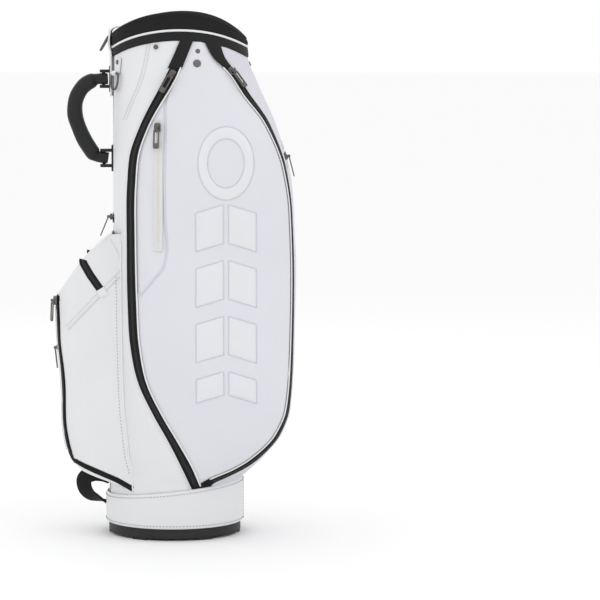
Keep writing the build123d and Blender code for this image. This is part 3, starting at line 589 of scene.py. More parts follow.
WHITE = leather("white_leather", (0.70, 0.705, 0.72), (0.755, 0.76, 0.775))
SIDE = leather("side_leather", (0.66, 0.665, 0.71), (0.71, 0.715, 0.755), rough=(0.42, 0.55))
GLOSS = leather("gloss_motif", (0.69, 0.695, 0.73), (0.735, 0.74, 0.77), rough=(0.14, 0.22), grain=500.0,
                depth_m=0.00006, coat=0.6)
PIPING = leather("piping_vinyl", (0.76, 0.76, 0.77), (0.82, 0.82, 0.83), rough=(0.3, 0.4), grain=1500.0)
BLACK_LEATHER = leather("black_leather", (0.012, 0.012, 0.013), (0.022, 0.022, 0.024), rough=(0.38, 0.52))
PALE = weave("pale_fabric", (0.60, 0.595, 0.66), (0.69, 0.685, 0.745), pitch=0.0008, rough=0.6,
             depth_m=0.00012)
MESH = weave("spacer_mesh", (0.004, 0.004, 0.004), (0.022, 0.022, 0.023), pitch=0.0030, rough=0.85,
             depth_m=0.0006, sheen=0.0, diagonal=True)
TAPE = weave("zip_tape_black", (0.006, 0.006, 0.006), (0.016, 0.016, 0.017), pitch=0.0016, rough=0.75,
             sheen=0.0)
CREAM = weave("zip_tape_cream", (0.66, 0.655, 0.645), (0.76, 0.755, 0.745), pitch=0.0016, rough=0.7,
              sheen=0.1)
WEBBING = weave("webbing_black", (0.006, 0.006, 0.006), (0.024, 0.024, 0.025), pitch=0.0024, rough=0.7,
                depth_m=0.0005)
LINING = weave("lining", (0.010, 0.010, 0.011), (0.03, 0.03, 0.032), pitch=0.0014, rough=0.7)
THREAD = plastic("thread_white", (0.50, 0.50, 0.55), (0.60, 0.60, 0.64), rough=(0.5, 0.7))
THREAD_BLACK = plastic("thread_black", (0.01, 0.01, 0.01), (0.03, 0.03, 0.03), rough=(0.5, 0.7))
NYLON = plastic("coil_black", (0.008, 0.008, 0.008), (0.018, 0.018, 0.018), rough=(0.35, 0.5))
NYLON_CREAM = plastic("coil_cream", (0.66, 0.655, 0.63), (0.76, 0.755, 0.73), rough=(0.35, 0.5))
GUN = metal("gunmetal", (0.085, 0.078, 0.074), (0.20, 0.186, 0.176))
THREAD_GREY = plastic("thread_grey", (0.20, 0.20, 0.22), (0.28, 0.28, 0.30), rough=(0.5, 0.7))
EDGE_LINE = plastic("motif_edge", (0.56, 0.555, 0.63), (0.63, 0.625, 0.70), rough=(0.4, 0.55))
SHELL = plastic("base_plastic", (0.010, 0.010, 0.011), (0.024, 0.024, 0.026), rough=(0.42, 0.6))
RUBBER = plastic("lug_rubber", (0.014, 0.014, 0.014), (0.03, 0.03, 0.03), rough=(0.65, 0.85))


def finish(obj, mat, body, *nodes, slot=None, padded=None):
    """Gives a piece its finish and its body, and hides the frame nodes it stands for."""
    obj.data.materials.clear()
    obj.data.materials.append(mat)
    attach(obj, body)
    if nodes:
        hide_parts(*nodes)
    return obj


def both(obj, mat, body, node_base=None, slot=None, padded=None):
    """Finishes a left piece and its mirror image."""
    base = obj.name
    twin = mirrored(obj, base + ".right")
    obj.name = base + ".left"
    for o, side in ((obj, "_left"), (twin, "_right")):
        finish(o, mat, body, *([node_base + side] if node_base else []), slot=slot, padded=padded)
    return obj, twin


# ------------------------------------------------------------------ sewn panels
def strip(name, left, right, z0, z1, cols, rows, lift, flip=False):
    """Panel between two perimeter tracks; lift(s, z, points) gives its height above the body."""
    z = np.linspace(z0, z1, rows)
    s = np.linspace(0, 1, cols)
    w = left(z)[:, None] + (right(z) - left(z))[:, None] * s[None, :]
    zz = np.repeat(z[:, None], cols, 1)
    base = surf(w, zz)
    grid = base + outward(w, zz) * lift(s[None, :] + 0 * zz, zz, base)[..., None]
    return sheet_object(name, grid, flip=flip)


def edge_fall(distance, reach, drop):
    """Cloth pulled down towards a seam that is some distance away."""
    return -drop * np.exp(-(distance / reach) ** 2)


def width_between(left, right, z):
    a, b = surf(left(z), z), surf(right(z), z)
    return np.linalg.norm(a - b, axis=-1)


def puffed(left, right, seed, drop=1.7, uneven=0.8, reach=7.0):
    """Lift of a filled panel, pulled down along its two edges."""
    def lift(s, z, base):
        wide = width_between(left, right, z)
        d = np.minimum(s, 1 - s) * wide
        return edge_fall(d, reach, drop) + uneven * soft(base, 70, 230, seed) * np.clip(d / 25, 0, 1)
    return lift


ROWS = 420 // FINE
PANEL_TOP = 838
FLAP_LOW = 786.5

# back quarter panels with their long curved seam
SEAM_BACK = ((37, 826), (41, 800), (52, 760), (66, 728), (76, 703))
seam_run = smooth_run(SEAM_BACK, 160)


def quarter_lift(s, z, base):
    lift = puffed(rear_out, spine_w, 11)(s, z, base)
    y_seam = np.interp(z, seam_run[::-1, 1], seam_run[::-1, 0], left=400, right=37)
    return lift + edge_fall(base[..., 1] - y_seam, 2.2, 0.9)


quarter = strip("quarter_panel", rear_out, spine_w, 67, 836, 90 // FINE, ROWS, quarter_lift)
quarter_runs = []
for shift in (-2.6, 2.6):
    ww = w_at_y(seam_run[:, 0] + shift, seam_run[:, 1])
    nn = outward(ww, seam_run[:, 1])
    quarter_runs.append((snapped(quarter, at(ww, seam_run[:, 1]), nn), nn))
both(quarter, WHITE, "bag", "back_quarter", slot="white_leather")
both(stitches("quarter_stitch", quarter_runs), THREAD, "bag")


def spine_right(z):
    return 4 - spine_w(z)


spine = strip("spine_panel_skin", spine_w, spine_right, 67, 818, 24, ROWS // 2,
              puffed(spine_w, spine_right, 12, 0.9, 0.3, 4))
finish(spine, WHITE, "bag", "spine_panel", slot="white_leather")

# side pockets
LANE_Y = 20.0
LANE_TOP = 700.0
LANE_LOW = 487.0
POCKET_SEAM = ((-5, 770), (4, 745), (8, 735), (9, 690), (10, 620), (10, 540), (8, 480), (12, 462), (28, 440),
               (52, 412))
pocket_seam = smooth_run(POCKET_SEAM, 260)


def pocket_lift(s, z, base):
    lift = puffed(fore_in, rear_in, 21, 1.9, 1.1, 9)(s, z, base)
    y = base[..., 1]
    seam_y = np.interp(z, pocket_seam[::-1, 1], pocket_seam[::-1, 0], left=400, right=-5)
    lift = lift + edge_fall(y - seam_y, 2.4, 1.3) * (z > 414) * (z < 768)
    behind = (y > seam_y) & (z > 414) & (z < 760)
    lift = lift - 0.9 * behind
    lane = np.clip(1 - np.abs(y - LANE_Y) / 9.5, 0, 1) * (np.clip((z - LANE_LOW + 4) / 8, 0, 1))
    lane = lane * np.clip((LANE_TOP + 4 - z) / 8, 0, 1)
    return lift - 1.2 * lane


pocket = strip("side_pocket_skin", fore_in, rear_in, 67, 840, 230 // FINE, ROWS, pocket_lift)
fold = pocket_seam[(pocket_seam[:, 1] < 736)]
fold_z = fold[:, 1]


def beside_fold(shift, off):
    """Run on the side pocket beside its folded seam, with its normals."""
    w = w_at_y(fold[:, 0] - shift, fold_z)
    n = outward(w, fold_z)
    return snapped(pocket, at(w, fold_z), n, off), n


both(stitches("pocket_stitch", [beside_fold(3.2, 0.15)]), THREAD, "bag")
fold_run, fold_n = beside_fold(0.3, 0.0)
both(tube("pocket_fold", fold_run, 1.1, normals=fold_n, flat=0.7), EDGE_LINE, "bag")

# upright zip on each side pocket
zs = np.linspace(LANE_LOW, LANE_TOP, 120)


yy, zz = np.meshgrid(np.linspace(LANE_Y - 6.4, LANE_Y + 6.4, 9), zs)
lane = sheet_object("lane_tape", at(w_at_y(yy, zz), zz, 0.5))
both(lane, CREAM, "bag", "lane_zip_tape", slot="lane_zip")
both(coil_on("lane_coil", w_at_y(LANE_Y, zs), zs, 0.6, 4.2, 1.2), NYLON_CREAM, "bag")
for y, tag in ((LANE_Y - 6.6, "a"), (LANE_Y + 6.6, "b")):
    both(cord_on("lane_lip." + tag, w_at_y(y, zs), zs, 0.3, 1.3, flat=0.7), SIDE, "bag")


# curved side zips: tape, coil and piping
def lane_lift(s, z, base):
    return -0.5 + 0.3 * np.abs(2 * s - 1) ** 3


for tag, a, b, low in (("rear", rear_in, rear_out, 67), ("fore", fore_out_w, fore_in, 84)):
    both(strip(tag + "_tape", a, b, low, PANEL_TOP, 15, ROWS, lane_lift), TAPE, "bag", tag + "_zip_tape",
         slot="zip_tape")


def middle(a, b):
    return lambda z: 0.5 * (a(z) + b(z))


for tag, a, b, low in (("rear", rear_in, rear_out, 92), ("fore", fore_out_w, fore_in, 100)):
    z = np.linspace(low, 788, 500)
    both(coil_on(tag + "_coil", middle(a, b)(z), z, -0.4), NYLON, "bag")
for tag, edge, low, radius in (("rear_inner", rear_in, 92, 1.4), ("fore_inner", fore_in, 104, 1.2),
                               ("fore_outer", fore_out_w, 104, 0.8), ("rear_outer", rear_out, 80, 0.7)):
    z = np.linspace(low, PANEL_TOP, 500)
    both(cord_on("piping." + tag, edge(z), z, 0.1, radius), PIPING, "bag")


# black flaps over the upper ends of the side zips
def spread(edge, other, low, high):
    """A track moved away from the other edge by a share of the width between them."""
    return lambda z: edge(z) + (edge(z) - other(z)) * np.interp(z, [786, PANEL_TOP], [low, high])


def flap_lift(s, z, base):
    return 1.6 + 0.5 * np.sin(np.pi * s) - 1.4 * np.exp(-((z - FLAP_LOW) / 2.0) ** 2)


for tag, a, b, low, high in (("rear", rear_in, rear_out, 0.12, 0.16),
                             ("fore", fore_out_w, fore_in, 0.10, 0.45)):
    flap = strip("zip_flap_" + tag, spread(a, b, low, high), spread(b, a, low, high), FLAP_LOW, PANEL_TOP,
                 15, 50, flap_lift)
    left, right = both(flap, WEBBING, "bag", slot="black_fabric")
    if tag == "rear":
        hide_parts("zip_garages")

# front panel with its level zip
FRONT_ZIP_Z = 639.0
FRONT_ZIP_HALF = 76.0


def front_lift(s, z, base):
    """Filled front panel, pressed in along its level zip and stitched lines."""
    wide = np.linalg.norm(base[:, 0] - base[:, -1], axis=-1)[:, None]
    d = np.minimum(s, 1 - s) * wide
    lift = edge_fall(d, 7, 1.6) + 0.7 * soft(base, 80, 260, 31) * np.clip(d / 25, 0, 1)
    inside = 1 / (1 + np.exp((np.abs(base[..., 0]) - FRONT_ZIP_HALF) / 1.2))
    lift = lift - 1.6 * inside * np.exp(-((z - FRONT_ZIP_Z) / 7.0) ** 4)
    for line in (FRONT_ZIP_Z + 16, FRONT_ZIP_Z - 16):
        lift = lift + edge_fall(z - line, 1.8, 0.5)
    return lift


def fore_right(z):
    return -fore_out_w(z)


front = strip("front_panel_skin", fore_right, fore_out_w, 67, 829, 180 // FINE, ROWS, front_lift)
finish(front, PALE, "bag", "front_panel", slot="pale_fabric")


def level_run(half, z, count, front=True):
    """Level run across the front or back of the bag, as perimeter positions and heights."""
    heights = np.full(count, float(z))
    return w_at_x(np.linspace(-half, half, count), heights, front), heights


def level_zip(side, half, z, count, tape_half, tape_off, coil_off):
    """Tape and coil of the level zip on the front or back of the bag."""
    front = side == "front"
    rows = [at(*level_run(half, level, count, front), tape_off)
            for level in np.linspace(z - tape_half, z + tape_half, 9)]
    tape = sheet_object(side + "_tape", np.array(rows), flip=not front)
    finish(tape, TAPE, "bag", side + "_zip_tape", slot="zip_tape")
    w, heights = level_run(half, z, count, front)
    finish(coil_on(side + "_coil", w, heights, coil_off), NYLON, "bag")


level_zip("front", FRONT_ZIP_HALF, FRONT_ZIP_Z, 200, tape_half=6.6, tape_off=-0.6, coil_off=-0.4)
runs = []
for rise, reach in ((19, 84), (-19, 84), (13, 78), (-13, 78)):
    w, z = level_run(reach, FRONT_ZIP_Z + rise, 200)
    runs.append((at(w, z, 0.1), outward(w, z)))
finish(stitches("front_stitch", runs), THREAD, "bag")
lips = []
for rise in (7.4, -7.4):
    w, z = level_run(FRONT_ZIP_HALF + 1, FRONT_ZIP_Z + rise, 200)
    lips.append(cord_on("lip", w, z, 0.1, 1.3))
finish(join(lips, "front_zip_lips"), PIPING, "bag")


# ------------------------------------------------------------------ raised motif: ring and slanted bars
def raised_patch(outline_fn, rows, cols, rise):
    """Grid of a cushioned patch on the left side; outline_fn maps the unit square to (y, z)."""
    u = np.linspace(0, 1, cols)[None, :]
    v = np.linspace(0, 1, rows)[:, None]
    y, z = outline_fn(u + 0 * v, v + 0 * u)
    w = w_at_y(y, z)
    edge = np.minimum(np.minimum(u, 1 - u) * cols, np.minimum(v, 1 - v) * rows)
    height = rise * (1 - np.exp(-(edge / (0.16 * min(rows, cols))) ** 1.6)) - 0.4 * (edge < 0.5)
    base = surf(w, z)
    lift = pocket_lift_flat(base)
    return base + outward(w, z) * (height + lift)[..., None]


def pocket_lift_flat(base):
    """Unevenness of the side pocket away from its seams."""
    return 1.1 * soft(base, 70, 230, 21)


def outline_line(loop):
    """Thin line drawn on the side pocket around a patch."""
    w = w_at_y(loop[:, 1], loop[:, 2])
    n = outward(w, loop[:, 2])
    return tube("edge", snapped(pocket, surf(w, loop[:, 2]), n, 0.1), 0.8, sides=6, step=3.0, normals=n)


def slanted_bar(y0, y1, low, high, sign):
    """Outline of a bar that leans up (1) or down (-1) towards the back."""
    return lambda u, v: (y0 + (y1 - y0) * u, low + (high - low) * v + 14 * (u - 0.5) * sign)


pieces = []
edges = []
for low, high in ((494, 558), (402, 466), (310, 374), (242, 282)):
    for y0, y1, sign in ((-142, -96, 1), (-88, -42, -1)):
        g = raised_patch(slanted_bar(y0, y1, low, high, sign), 30 // FINE, 24 // FINE, 2.6)
        pieces.append(sheet_object("bar", g))
        loop = np.concatenate([g[0], g[1:, -1], g[-1, -2::-1], g[-2:0:-1, 0], g[:1, 0]])
        edges.append(outline_line(loop))
RING_Y = -92
RING_Z = 632
ROUND = 72 // FINE
turn = np.linspace(0, 2 * np.pi, ROUND, endpoint=False)[None, :]
out = np.linspace(0, 1, 12)[:, None]
y = RING_Y + np.cos(turn) * (30 + 16 * out)
z = RING_Z + np.sin(turn) * (40 + 20 * out)
w = w_at_y(y, z)
base = surf(w, z)
height = 2.4 * np.sqrt(np.clip(1 - (2 * out - 1) ** 2, 0, 1)) - 0.3
ring = base + outward(w, z) * (height + pocket_lift_flat(base))[..., None]
edges += [outline_line(np.vstack([ring[k], ring[k][:1]])) for k in (0, -1)]
pieces.append(new_object("ringshape", ring.reshape(-1, 3), grid_faces(12, ROUND, True)))
motif = join(pieces, "side_motif")
motif_edge = join(edges, "side_motif_edge")
both(motif, GLOSS, "bag")
both(motif_edge, EDGE_LINE, "bag")
both(pocket, SIDE, "bag", "side_pocket", slot="white_leather")

# ------------------------------------------------------------------ base band
ang = np.linspace(0, 2 * np.pi, 361)
BAND = 116.0
BAND_BOTTOM = 20.3
band_y = -BAND * np.cos(ang)
band_top = 83.0 - (95.5 - 70.5) / (2 * BAND) * band_y


def band_row(off, level):
    r = BAND + off
    return np.stack([-r * np.sin(ang), -r * np.cos(ang), level], -1)


grid = [band_row(off, BAND_BOTTOM + dz + 0 * band_y)
        for off, dz in ((-2.6, 0.0), (-0.9, 0.4), (0.0, 2.0), (0.15, 8.0))]
grid.append(band_row(0.25, (BAND_BOTTOM + band_top) / 2))
grid += [band_row(off, band_top + dz) for off, dz in ((0.1, -6.0), (-0.2, -2.0), (-1.2, -0.3), (-2.8, 0.0))]
band = sheet_object("band_leather", np.array(grid), flip=True)
sub = band.modifiers.new("round", "SUBSURF")
sub.levels = sub.render_levels = 1
finish(band, WHITE, "bag", "base_band", slot="white_leather")
runs = []
flat_n = np.stack([-np.sin(ang), -np.cos(ang), 0 * ang], -1)
for level in (band_top - 5.5, BAND_BOTTOM + 5.0 + 0 * band_y):
    runs.append((np.stack([-BAND * np.sin(ang), band_y, level], -1) + flat_n * 0.3, flat_n))
for x in (-3.5, 3.5):
    z = np.linspace(24, 92, 20)
    y = -np.sqrt(BAND ** 2 - x ** 2) + 0 * z
    n = np.stack([np.full(20, x / BAND), y / BAND, 0 * z], -1)
    runs.append((np.stack([np.full(20, x), y, z], -1) + n * 0.1, n))
finish(stitches("band_stitch", runs, 5.6, 2.6, 1.2, 0.5), THREAD_GREY, "bag")
z = np.linspace(21.5, 94, 30)
finish(tube("band_seam", np.stack([0 * z, -BAND - 0.05 + 0 * z, z], -1), 0.9), WHITE, "bag")

# ------------------------------------------------------------------ collar
wp = np.linspace(0, 4, 361)


def ring_piece(name, section_fn, count, mat, *nodes, slot=None, padded=None, waves=0.0):
    rows = []
    for k in range(count):
        off, z = section_fn(k / (count - 1), surf(wp, 860)[:, 1])
        p = surf(wp, z)
        n = outward(wp, 870 + 0 * wp)
        n[:, 2] = 0
        n /= np.linalg.norm(n, axis=1, keepdims=True)
        rows.append(p + n * (off + 0 * wp)[:, None])
    g = np.array(rows)
    if waves:
        g = g + (g - g.mean((0, 1))) / 110.0 * waves * soft(g, 25, 70, 41)[..., None] * np.array([1, 1, 0])
    obj = sheet_object(name, g, flip=True)
    return finish(obj, mat, "bag", *nodes, slot=slot, padded=padded)


def pad_section(t, y):
    low, high = piping_z(y) + 1.0, rim_z(y)
    tall = high - low
    if t < 0.42:
        q = t / 0.42
        return 0.2 + 2.2 * math.sin(math.pi * min(1, q * 0.9 + 0.1)) ** 0.6, low + (tall - 8) * q
    if t < 0.72:
        q = (t - 0.42) / 0.30 * math.pi
        return -6.8 + 7.9 * math.cos(q), high - 8 + 8 * math.sin(q)
    q = (t - 0.72) / 0.28
    return -14.7 - 0.6 * math.sin(math.pi * q), high - 8 - (high - 8 - 806) * q


ring_piece("collar_padding", pad_section, 44, MESH, "collar_pad", slot="black_fabric", padded=0.9, waves=0.25)


def band_section(t, y):
    low, high = hem_z(y) - 1.0, piping_z(y) - 2.2
    bulge = 1.3 * math.sin(math.pi * t) ** 0.5
    return 0.9 + bulge * 0.6 - (1.2 if t < 0.04 else 0), low + (high - low) * t


ring_piece("collar_band_cloth", band_section, 12, WEBBING, "collar_band", slot="black_fabric")
py = surf(wp, 850)[:, 1]
pp = surf(wp, piping_z(py) - 0.7)
pn = outward(wp, 860 + 0 * wp)
finish(tube("collar_piping_cord", pp + pn * 1.1, 2.0, step=3), PIPING, "bag", "collar_piping",
       slot="white_leather")

# seam line along the padding, inside the lip
runs = [(surf(wp, piping_z(py) + 6.5) + pn * 1.9, pn)]
finish(stitches("collar_stitch", runs, 4.0, 2.6, 0.7, 0.3), THREAD_BLACK, "bag")

# ------------------------------------------------------------------ leather strip over the back of the rim
STRIP_HALF = 21.0
BACK_RADIUS = 104.0
STRIP_PATH = ((103.2, 738.5), (104.9, 739.5), (105.2, 744), (105.2, 800), (105.4, 812), (107.2, 818),
              (107.2, 842),
              (106.2, 848), (102.5, 852), (96, 854.2), (89, 854.2), (83.5, 851.5), (81.6, 846), (81.6, 807))


def plane_path(points, count):
    """Smooth run in the bag's middle plane, with its outward and crossways vectors."""
    y, z = smooth_run(points, count).T
    run = np.stack([0 * y, y, z], -1)
    _, normal, cross = tidy_frame(run, np.stack([0 * y, np.gradient(z), -np.gradient(y)], -1))
    return run, normal, cross


mid, n, b = plane_path(STRIP_PATH, 260)
xs = np.linspace(-STRIP_HALF, STRIP_HALF, 29)
round_back = -(xs ** 2) / (2 * BACK_RADIUS)
edge = -1.5 * (np.abs(xs) / STRIP_HALF) ** 14
grid = np.stack([np.broadcast_to(xs, (260, 29)),
                 mid[:, 1][:, None] + n[:, 1][:, None] * edge[None, :] + round_back[None, :],
                 mid[:, 2][:, None] + n[:, 2][:, None] * edge[None, :]], -1)
finish(sheet_object("strip_leather", grid, thick=1.2), WHITE, "bag", "spine_strip", slot="white_leather")
runs = []
for x in (-17.5, 17.5):
    c = mid + np.array([x, -x * x / (2 * BACK_RADIUS), 0]) + n * 0.1
    runs.append((c[4:-4], n[4:-4]))
finish(stitches("strip_stitch", runs), THREAD, "bag")

# tab that holds the ring, folded flat on the strip
tab_z = np.linspace(833.5, 850.5, 14)
tab_x = np.linspace(-10, 10, 17)
tab_y = 108.3 - tab_x[None, :] ** 2 / (2 * BACK_RADIUS) - 1.1 * (np.abs(tab_x)[None, :] / 10) ** 10
tab_y = tab_y + 0 * tab_z[:, None]
tab_y -= 1.1 * ((tab_z - 842)[:, None] / 8.5) ** 10
tab = np.stack([np.broadcast_to(tab_x, tab_y.shape), tab_y, np.broadcast_to(tab_z[:, None], tab_y.shape)], -1)
finish(sheet_object("ring_tab_leather", tab, flip=True, thick=1.0), WHITE, "bag", "top_ring_tab",
       slot="white_leather")

# ------------------------------------------------------------------ ball pocket
POCKET = ((60, 92, 160), (92, 92, 164), (120, 92, 168), (161, 93, 179), (200, 94, 184), (282, 95, 187),
          (343, 95, 193), (403, 94, 196), (520, 90, 196))
LIMIT = ((57, 76), (104, 96.5), (150, 115.5), (159, 122), (170, 131), (200, 150), (230, 380), (205, 402),
         (193, 411), (184, 420), (168, 444), (154, 464), (134, 484), (99, 513))
ROWS_P = np.array(POCKET, float)
ROWS_L = np.array(LIMIT, float)
CORNER_R = 38.0


def pocket_half(z):
    return np.interp(z, ROWS_P[:, 0], ROWS_P[:, 1])


def pocket_depth(z):
    return np.interp(z, GRID_P, DEPTH_P)


GRID_P = np.linspace(60, 520, 461)
DEPTH_P = eased(GRID_P, ROWS_P[:, 0], ROWS_P[:, 2])
ZB = np.linspace(66, 520, 228)
Y_AT_SIDE = np.array([surf(w, z)[1] for w, z in zip(w_at_x(-pocket_half(ZB), ZB, False), ZB)])


def pocket_limit(z):
    return np.interp(z, ROWS_L[:, 1], ROWS_L[:, 0])


def pocket_point(v, z):
    """Left half of the pocket: v 0 at the bag, 0.45 and 0.7 at the corner's ends, 1 at the centre."""
    v, z = np.broadcast_arrays(np.asarray(v, float), np.asarray(z, float))
    half, deep = pocket_half(z), pocket_depth(z)
    y0 = np.interp(z, ZB, Y_AT_SIDE) - 3.0
    start = deep - CORNER_R
    a = np.clip(v / 0.45, 0, 1)
    b = np.clip((v - 0.45) / 0.25, 0, 1) * np.pi / 2
    c = np.clip((v - 0.7) / 0.3, 0, 1)
    x = -(half - CORNER_R + CORNER_R * np.cos(b)) * (1 - c)
    y = y0 + (start - y0) * a + CORNER_R * np.sin(b)
    cap = pocket_limit(z)
    k = 3.5
    y = -k * np.logaddexp(-y / k, -cap / k)
    return np.stack([x, y, z], -1)


def pocket_normal(v, z):
    v, z = np.broadcast_arrays(np.asarray(v, float), np.asarray(z, float))
    e = 0.004
    dv = pocket_point(np.clip(v + e, 0, 1), z) - pocket_point(np.clip(v - e, 0, 1), z)
    dz = pocket_point(v, z + 1.0) - pocket_point(v, z - 1.0)
    n = np.cross(dz, dv)
    size = np.linalg.norm(n, axis=-1, keepdims=True)
    n = np.where(size > 1e-6, n / (size + 1e-12), np.array([0.0, 1.0, 0.0]))
    out = np.stack([-np.ones_like(v), 0.6 + 0 * v, 0 * v], -1)
    return n * np.sign(np.sum(n * out, -1, keepdims=True) + 1e-9)


def on_pocket(v, z, off=0.0):
    """Point on the pocket as it shows, unevenness included."""
    base = pocket_point(v, z)
    uneven = 1.0 * soft(base, 60, 190, 61) * np.clip(np.asarray(v) / 0.12, 0, 1)
    return base + pocket_normal(v, z) * (np.asarray(off, float) + uneven)[..., None]


def pocket_v(y, z):
    """v of the wall or corner point at depth y."""
    y, z = np.broadcast_arrays(np.asarray(y, float), np.asarray(z, float))
    deep = pocket_depth(z)
    y0 = np.interp(z, ZB, Y_AT_SIDE) - 3.0
    start = deep - CORNER_R
    wall = 0.45 * (y - y0) / (start - y0)
    arc = 0.45 + 0.25 * np.arcsin(np.clip((y - start) / CORNER_R, 0, 1)) / (np.pi / 2)
    return np.where(y < start, wall, arc)


def pocket_v_back(x, z):
    """v of the back-face point at sideways distance x."""
    half = pocket_half(z)
    flat = half - CORNER_R
    back = 0.7 + 0.3 * (1 - x / flat)
    arc = 0.45 + 0.25 * np.arccos(np.clip((x - flat) / CORNER_R, 0, 1)) / (np.pi / 2)
    return np.where(x < flat, back, arc)


DOOR_HALF = 66.0
DOOR_ZIP = 13.0
DOOR_TOP = 409.0
DOOR_LOW = 146.0


def pocket_lift_at(p, v):
    """Unevenness of the filled pocket, with the zip lanes pressed in."""
    lift = 1.0 * soft(p, 60, 190, 61) * np.clip(v / 0.12, 0, 1)
    x, y, z = np.abs(p[..., 0]), p[..., 1], p[..., 2]
    lane = (x > DOOR_HALF) & (x < DOOR_HALF + DOOR_ZIP) & (v > 0.5) & (z > DOOR_LOW) & (z < DOOR_TOP + 2)
    return lift - 1.1 * lane - 0.8 * np.exp(-(v / 0.012) ** 2)


v = np.r_[np.linspace(0, 0.45, 76 // FINE), np.linspace(0.45, 0.7, 62 // FINE)[1:],
          np.linspace(0.7, 1, 60 // FINE)[1:]]
z = np.r_[np.linspace(77, 130, 64 // FINE), np.linspace(130, 400, 220 // FINE)[1:],
          np.linspace(400, 512, 130 // FINE)[1:]]
vv, zz = np.meshgrid(v, z)
base = pocket_point(vv, zz)
left_half = base + pocket_normal(vv, zz) * pocket_lift_at(base, vv)[..., None]
left_half[:, -1, 0] = 0
right_half = (left_half * FLIP)[:, ::-1][:, 1:]
shell = sheet_object("ball_pocket_shell", np.concatenate([left_half, right_half], 1))
finish(shell, WHITE, "bag", "ball_pocket", slot="white_leather", padded=0.8)

# door: slightly raised cushioned panel on the back face
dz = np.linspace(DOOR_LOW - 4, DOOR_TOP - 2, 170 // FINE)
dx = np.linspace(0, DOOR_HALF, 60 // FINE)
gx, gz = np.meshgrid(dx, dz)
gv = pocket_v_back(gx, gz)
pb = pocket_point(gv, gz)
d = np.minimum(DOOR_HALF - gx, np.minimum(gz - dz[0], dz[-1] - gz))
rise = 2.2 * (1 - np.exp(-d / 4.0)) - 0.6 + 0.8 * soft(pb, 50, 150, 63) * np.clip(d / 20, 0, 1)
half_door = pb + pocket_normal(gv, gz) * rise[..., None]
half_door[:, 0, 0] = 0
other = (half_door * FLIP)[:, ::-1][:, :-1]
door = sheet_object("pocket_door_panel", np.concatenate([other, half_door], 1), flip=True)
finish(door, WHITE, "bag", "ball_pocket_door", slot="white_leather", padded=0.7)
vz = np.linspace(DOOR_LOW + 4, DOOR_TOP - 8, 90)
vx = pocket_v_back(DOOR_HALF - 5.0 + 0 * vz, vz)
p0 = on_pocket(vx, vz, 1.7 + 0 * vz)
n0 = pocket_normal(vx, vz)
finish(stitches("door_stitch", [(p0, n0), (p0 * FLIP, n0 * FLIP)]), THREAD, "bag")


# level zip across the pocket door
ACCESSORY_Z = 318
ax = np.linspace(-46, 46, 90)
rows = []
for z_row in np.linspace(ACCESSORY_Z - 6.8, ACCESSORY_Z + 6.8, 9):
    p0 = np.stack([ax, pocket_point(np.ones(90), np.full(90, z_row))[:, 1], np.full(90, z_row)], -1)
    nn = np.tile(np.array([0.0, 1.0, 0.0]), (90, 1))
    rows.append(snapped(door, p0, nn, 0.45, 12.0))
finish(sheet_object("accessory_tape", np.array(rows), flip=True), TAPE, "bag", slot="zip_tape")
finish(coil("accessory_coil", rows[4], nn, 5.2, 1.4), NYLON, "bag")


# zips of the pocket: door sides, shoulder, foot
def pocket_lane(name, centre_v, centre_z, half_width, off):
    """Tape along a run on the pocket, its width measured on the surface."""
    c = on_pocket(centre_v, centre_z)
    n = pocket_normal(centre_v, centre_z)
    t, n2, b = tidy_frame(c, n)
    s = np.linspace(-half_width, half_width, 9)
    g = c[None, :, :] + b[None, :, :] * s[:, None, None] + n2[None, :, :] * off
    g = np.array([snapped(shell, row, n2, off, 12.0) for row in g])
    return sheet_object(name, g), c, n2


vz = np.linspace(DOOR_LOW - 13, DOOR_TOP, 160)
vx = pocket_v_back(DOOR_HALF + DOOR_ZIP / 2 + 0 * vz, vz)
lanes, coils = [], []
g, c, n2 = pocket_lane("lane", vx, vz, DOOR_ZIP / 2 + 0.8, 0.7)
lanes.append(g)
coils.append(coil("coil", c + n2 * 0.5, n2, 5.2, 1.5))
side_y = np.linspace(66, 160, 70)
foot_z = np.interp(side_y, [50, 66, 92, 128, 160], [78, 85, 100, 116, 131])
foot_v = pocket_v(side_y, foot_z)
back_v = np.linspace(foot_v[-1], 1, 50)[1:]
foot_v, foot_z = np.r_[foot_v, back_v], np.r_[foot_z, 131 + 3 * np.linspace(0, 1, 49)]
g, c, n2 = pocket_lane("lane", foot_v, foot_z, 4.4, 0.6)
lanes.append(g)
shoulder_y = np.linspace(119, 150, 40)
shoulder_z = np.interp(shoulder_y, [119, 135, 150], [421, 444, 470])
g, c, n2 = pocket_lane("lane", pocket_v(shoulder_y, shoulder_z), shoulder_z, 6.5, 0.6)
lanes.append(g)
coils.append(coil("coil", c + n2 * 0.6, n2, 5.2, 1.4))
tape = join(lanes, "pocket_tape")
left, right = both(tape, TAPE, "bag", slot="zip_tape")
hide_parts("ball_pocket_zips")
both(join(coils, "pocket_coil"), NYLON, "bag")
tag_y, tag_z = np.linspace(112, 119, 8), np.linspace(409, 421, 8)
g, c, n2 = pocket_lane("shoulder_tag", pocket_v(tag_y, tag_z), tag_z, 7.0, 1.1)
both(g, WHITE, "bag")

